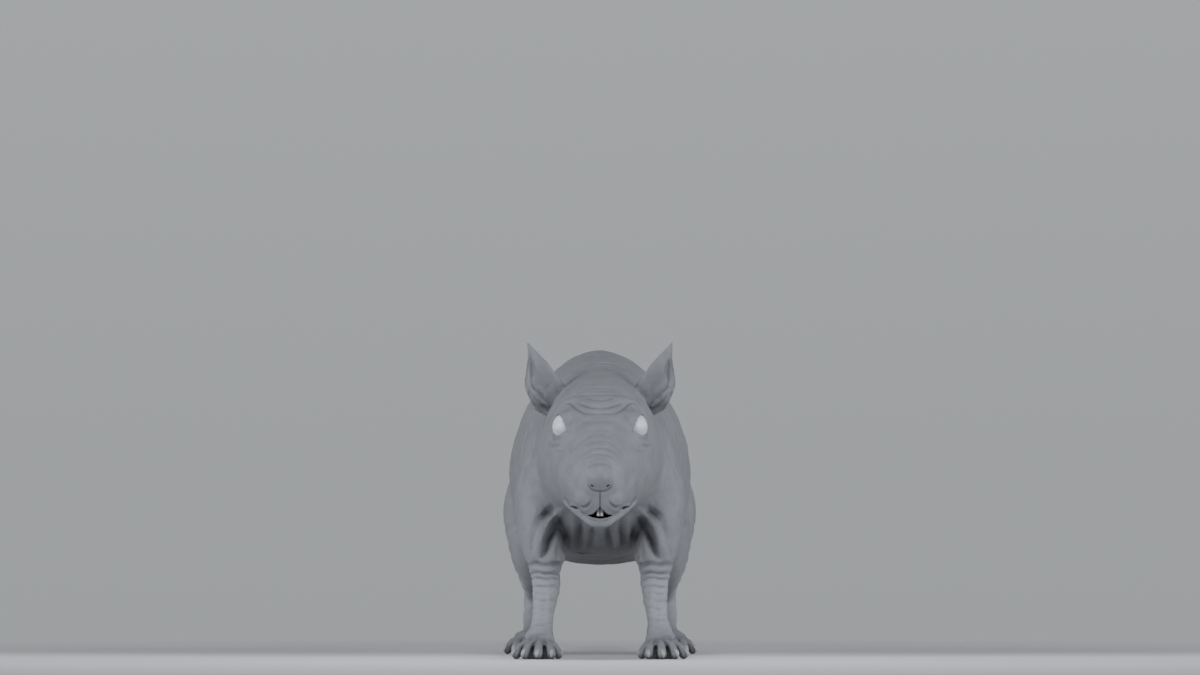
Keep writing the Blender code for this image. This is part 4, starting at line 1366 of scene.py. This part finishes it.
def dark_lining():
    """Mouth lining: wet mucous skin in blotches of 0.8 mm, dark in itself and painted near black for the
    shade inside the mouth.
    """
    return plain_material("dark wet mouth lining", (1200.0, 2.0, 0.5), ("#1a1517", "#2a2224"), 0.4, 1.5)


def finish_piece(piece, material, sharp=None):
    """Moves the piece to the model's frame, gives it its finish and lets it ride on the body."""
    piece.data.transform(Matrix.Scale(MM, 4) @ Matrix.Translation((0, -LENGTH_MIDDLE, 0)))
    piece.data.materials.clear()
    piece.data.materials.append(material)
    piece.data.shade_smooth()
    if sharp:
        piece.data.set_sharp_from_angle(angle=math.radians(sharp))
    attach(piece, "root")
    return piece


def make_stage():
    """A round floor of matt paper that fades into the grey of the studio, soft lights and the camera."""
    bm = bmesh.new()
    bmesh.ops.create_circle(bm, cap_ends=True, radius=FLOOR_REACH, segments=96)
    floor = piece_from("paper floor", bm)
    material, tree, shader, place = new_material("matt grey paper")
    away = add(tree, "VectorMath", {"operation": "LENGTH"}, i0=place).outputs["Value"]
    smooth = {"interpolation_type": "SMOOTHSTEP"}
    fade = add(tree, "MapRange", smooth, Value=away, From_Min=FLOOR_REACH, From_Max=FLOOR_FADE)
    tree.links.new(fade.outputs["Result"], shader.inputs["Alpha"])
    back = add(tree, "SeparateXYZ", Vector=place).outputs["Y"]
    dim = add(tree, "MapRange", Value=back, From_Min=-0.04, From_Max=0.01).outputs["Result"]
    tint = add(tree, "Mix", {"data_type": "RGBA"}, i0=dim, i6=linear("#d8d9db"), i7=linear("#b3b4b6"))
    tree.links.new(tint.outputs[2], shader.inputs["Base Color"])
    shader.inputs["Roughness"].default_value = 0.9
    floor.data.materials.append(material)

    world = bpy.data.worlds.new("studio air")
    world.use_nodes = True
    tree = world.node_tree
    way = add(tree, "TexCoord").outputs["Generated"]
    rise = add(tree, "SeparateXYZ", Vector=way).outputs["Z"]
    high = add(tree, "MapRange", Value=rise, From_Max=0.25).outputs["Result"]
    seen = add(tree, "LightPath").outputs["Is Camera Ray"]
    backdrop = add(tree, "Mix", {"data_type": "RGBA"}, i0=high, i6=linear("#9d9fa1"), i7=linear("#a4a6a8"))
    air = add(tree, "Mix", {"data_type": "RGBA"}, i0=seen, i6=linear(AIR_LIGHT), i7=backdrop.outputs[2])
    tree.links.new(air.outputs[2], tree.nodes["Background"].inputs["Color"])
    bpy.context.scene.world = world

    for name, place, size, power in SOFTBOXES:
        light = bpy.data.lights.new(name, "AREA")
        light.shape = "SQUARE"
        light.size = size
        light.energy = power
        lamp = bpy.data.objects.new(name, light)
        lamp.location = place
        lamp.rotation_euler = (Vector(LIT_PLACE) - Vector(place)).to_track_quat("-Z", "Y").to_euler()
        bpy.context.scene.collection.objects.link(lamp)

    lens = bpy.data.cameras.new("camera")
    lens.lens = LENS
    lens.sensor_width = SENSOR_WIDTH
    lens.clip_start = 0.01
    camera = bpy.data.objects.new("camera", lens)
    camera.location = CAMERA_PLACE
    camera.rotation_euler = (CAMERA_TILT, 0, 0)
    bpy.context.scene.collection.objects.link(camera)
    bpy.context.scene.camera = camera
    bpy.context.scene.view_settings.view_transform = "Standard"


skin = make_skin()
open_skin(skin)
keep_largest(skin)
round_rims(skin)
mark_surface(skin)
mark_shelter(skin)
skin.name = "skin"
finish_piece(skin, bare_skin(), SHARP_ANGLE)
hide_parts(*[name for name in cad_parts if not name.startswith("eye_")])

milky = clouded_eye()
for label, side in (("left", 1), ("right", -1)):
    eye = finish_piece(make_eye(f"eyeball-{label}", side), milky)
    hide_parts(f"eye_{label}")

horn = joined("claws", both_sides(claws("front", FRONT_TOES) + claws("hind", HIND_TOES)))
finish_piece(horn, claw_horn())
finish_piece(joined("incisors", incisors()), enamel())
finish_piece(mouth_lining(), dark_lining())

make_stage()
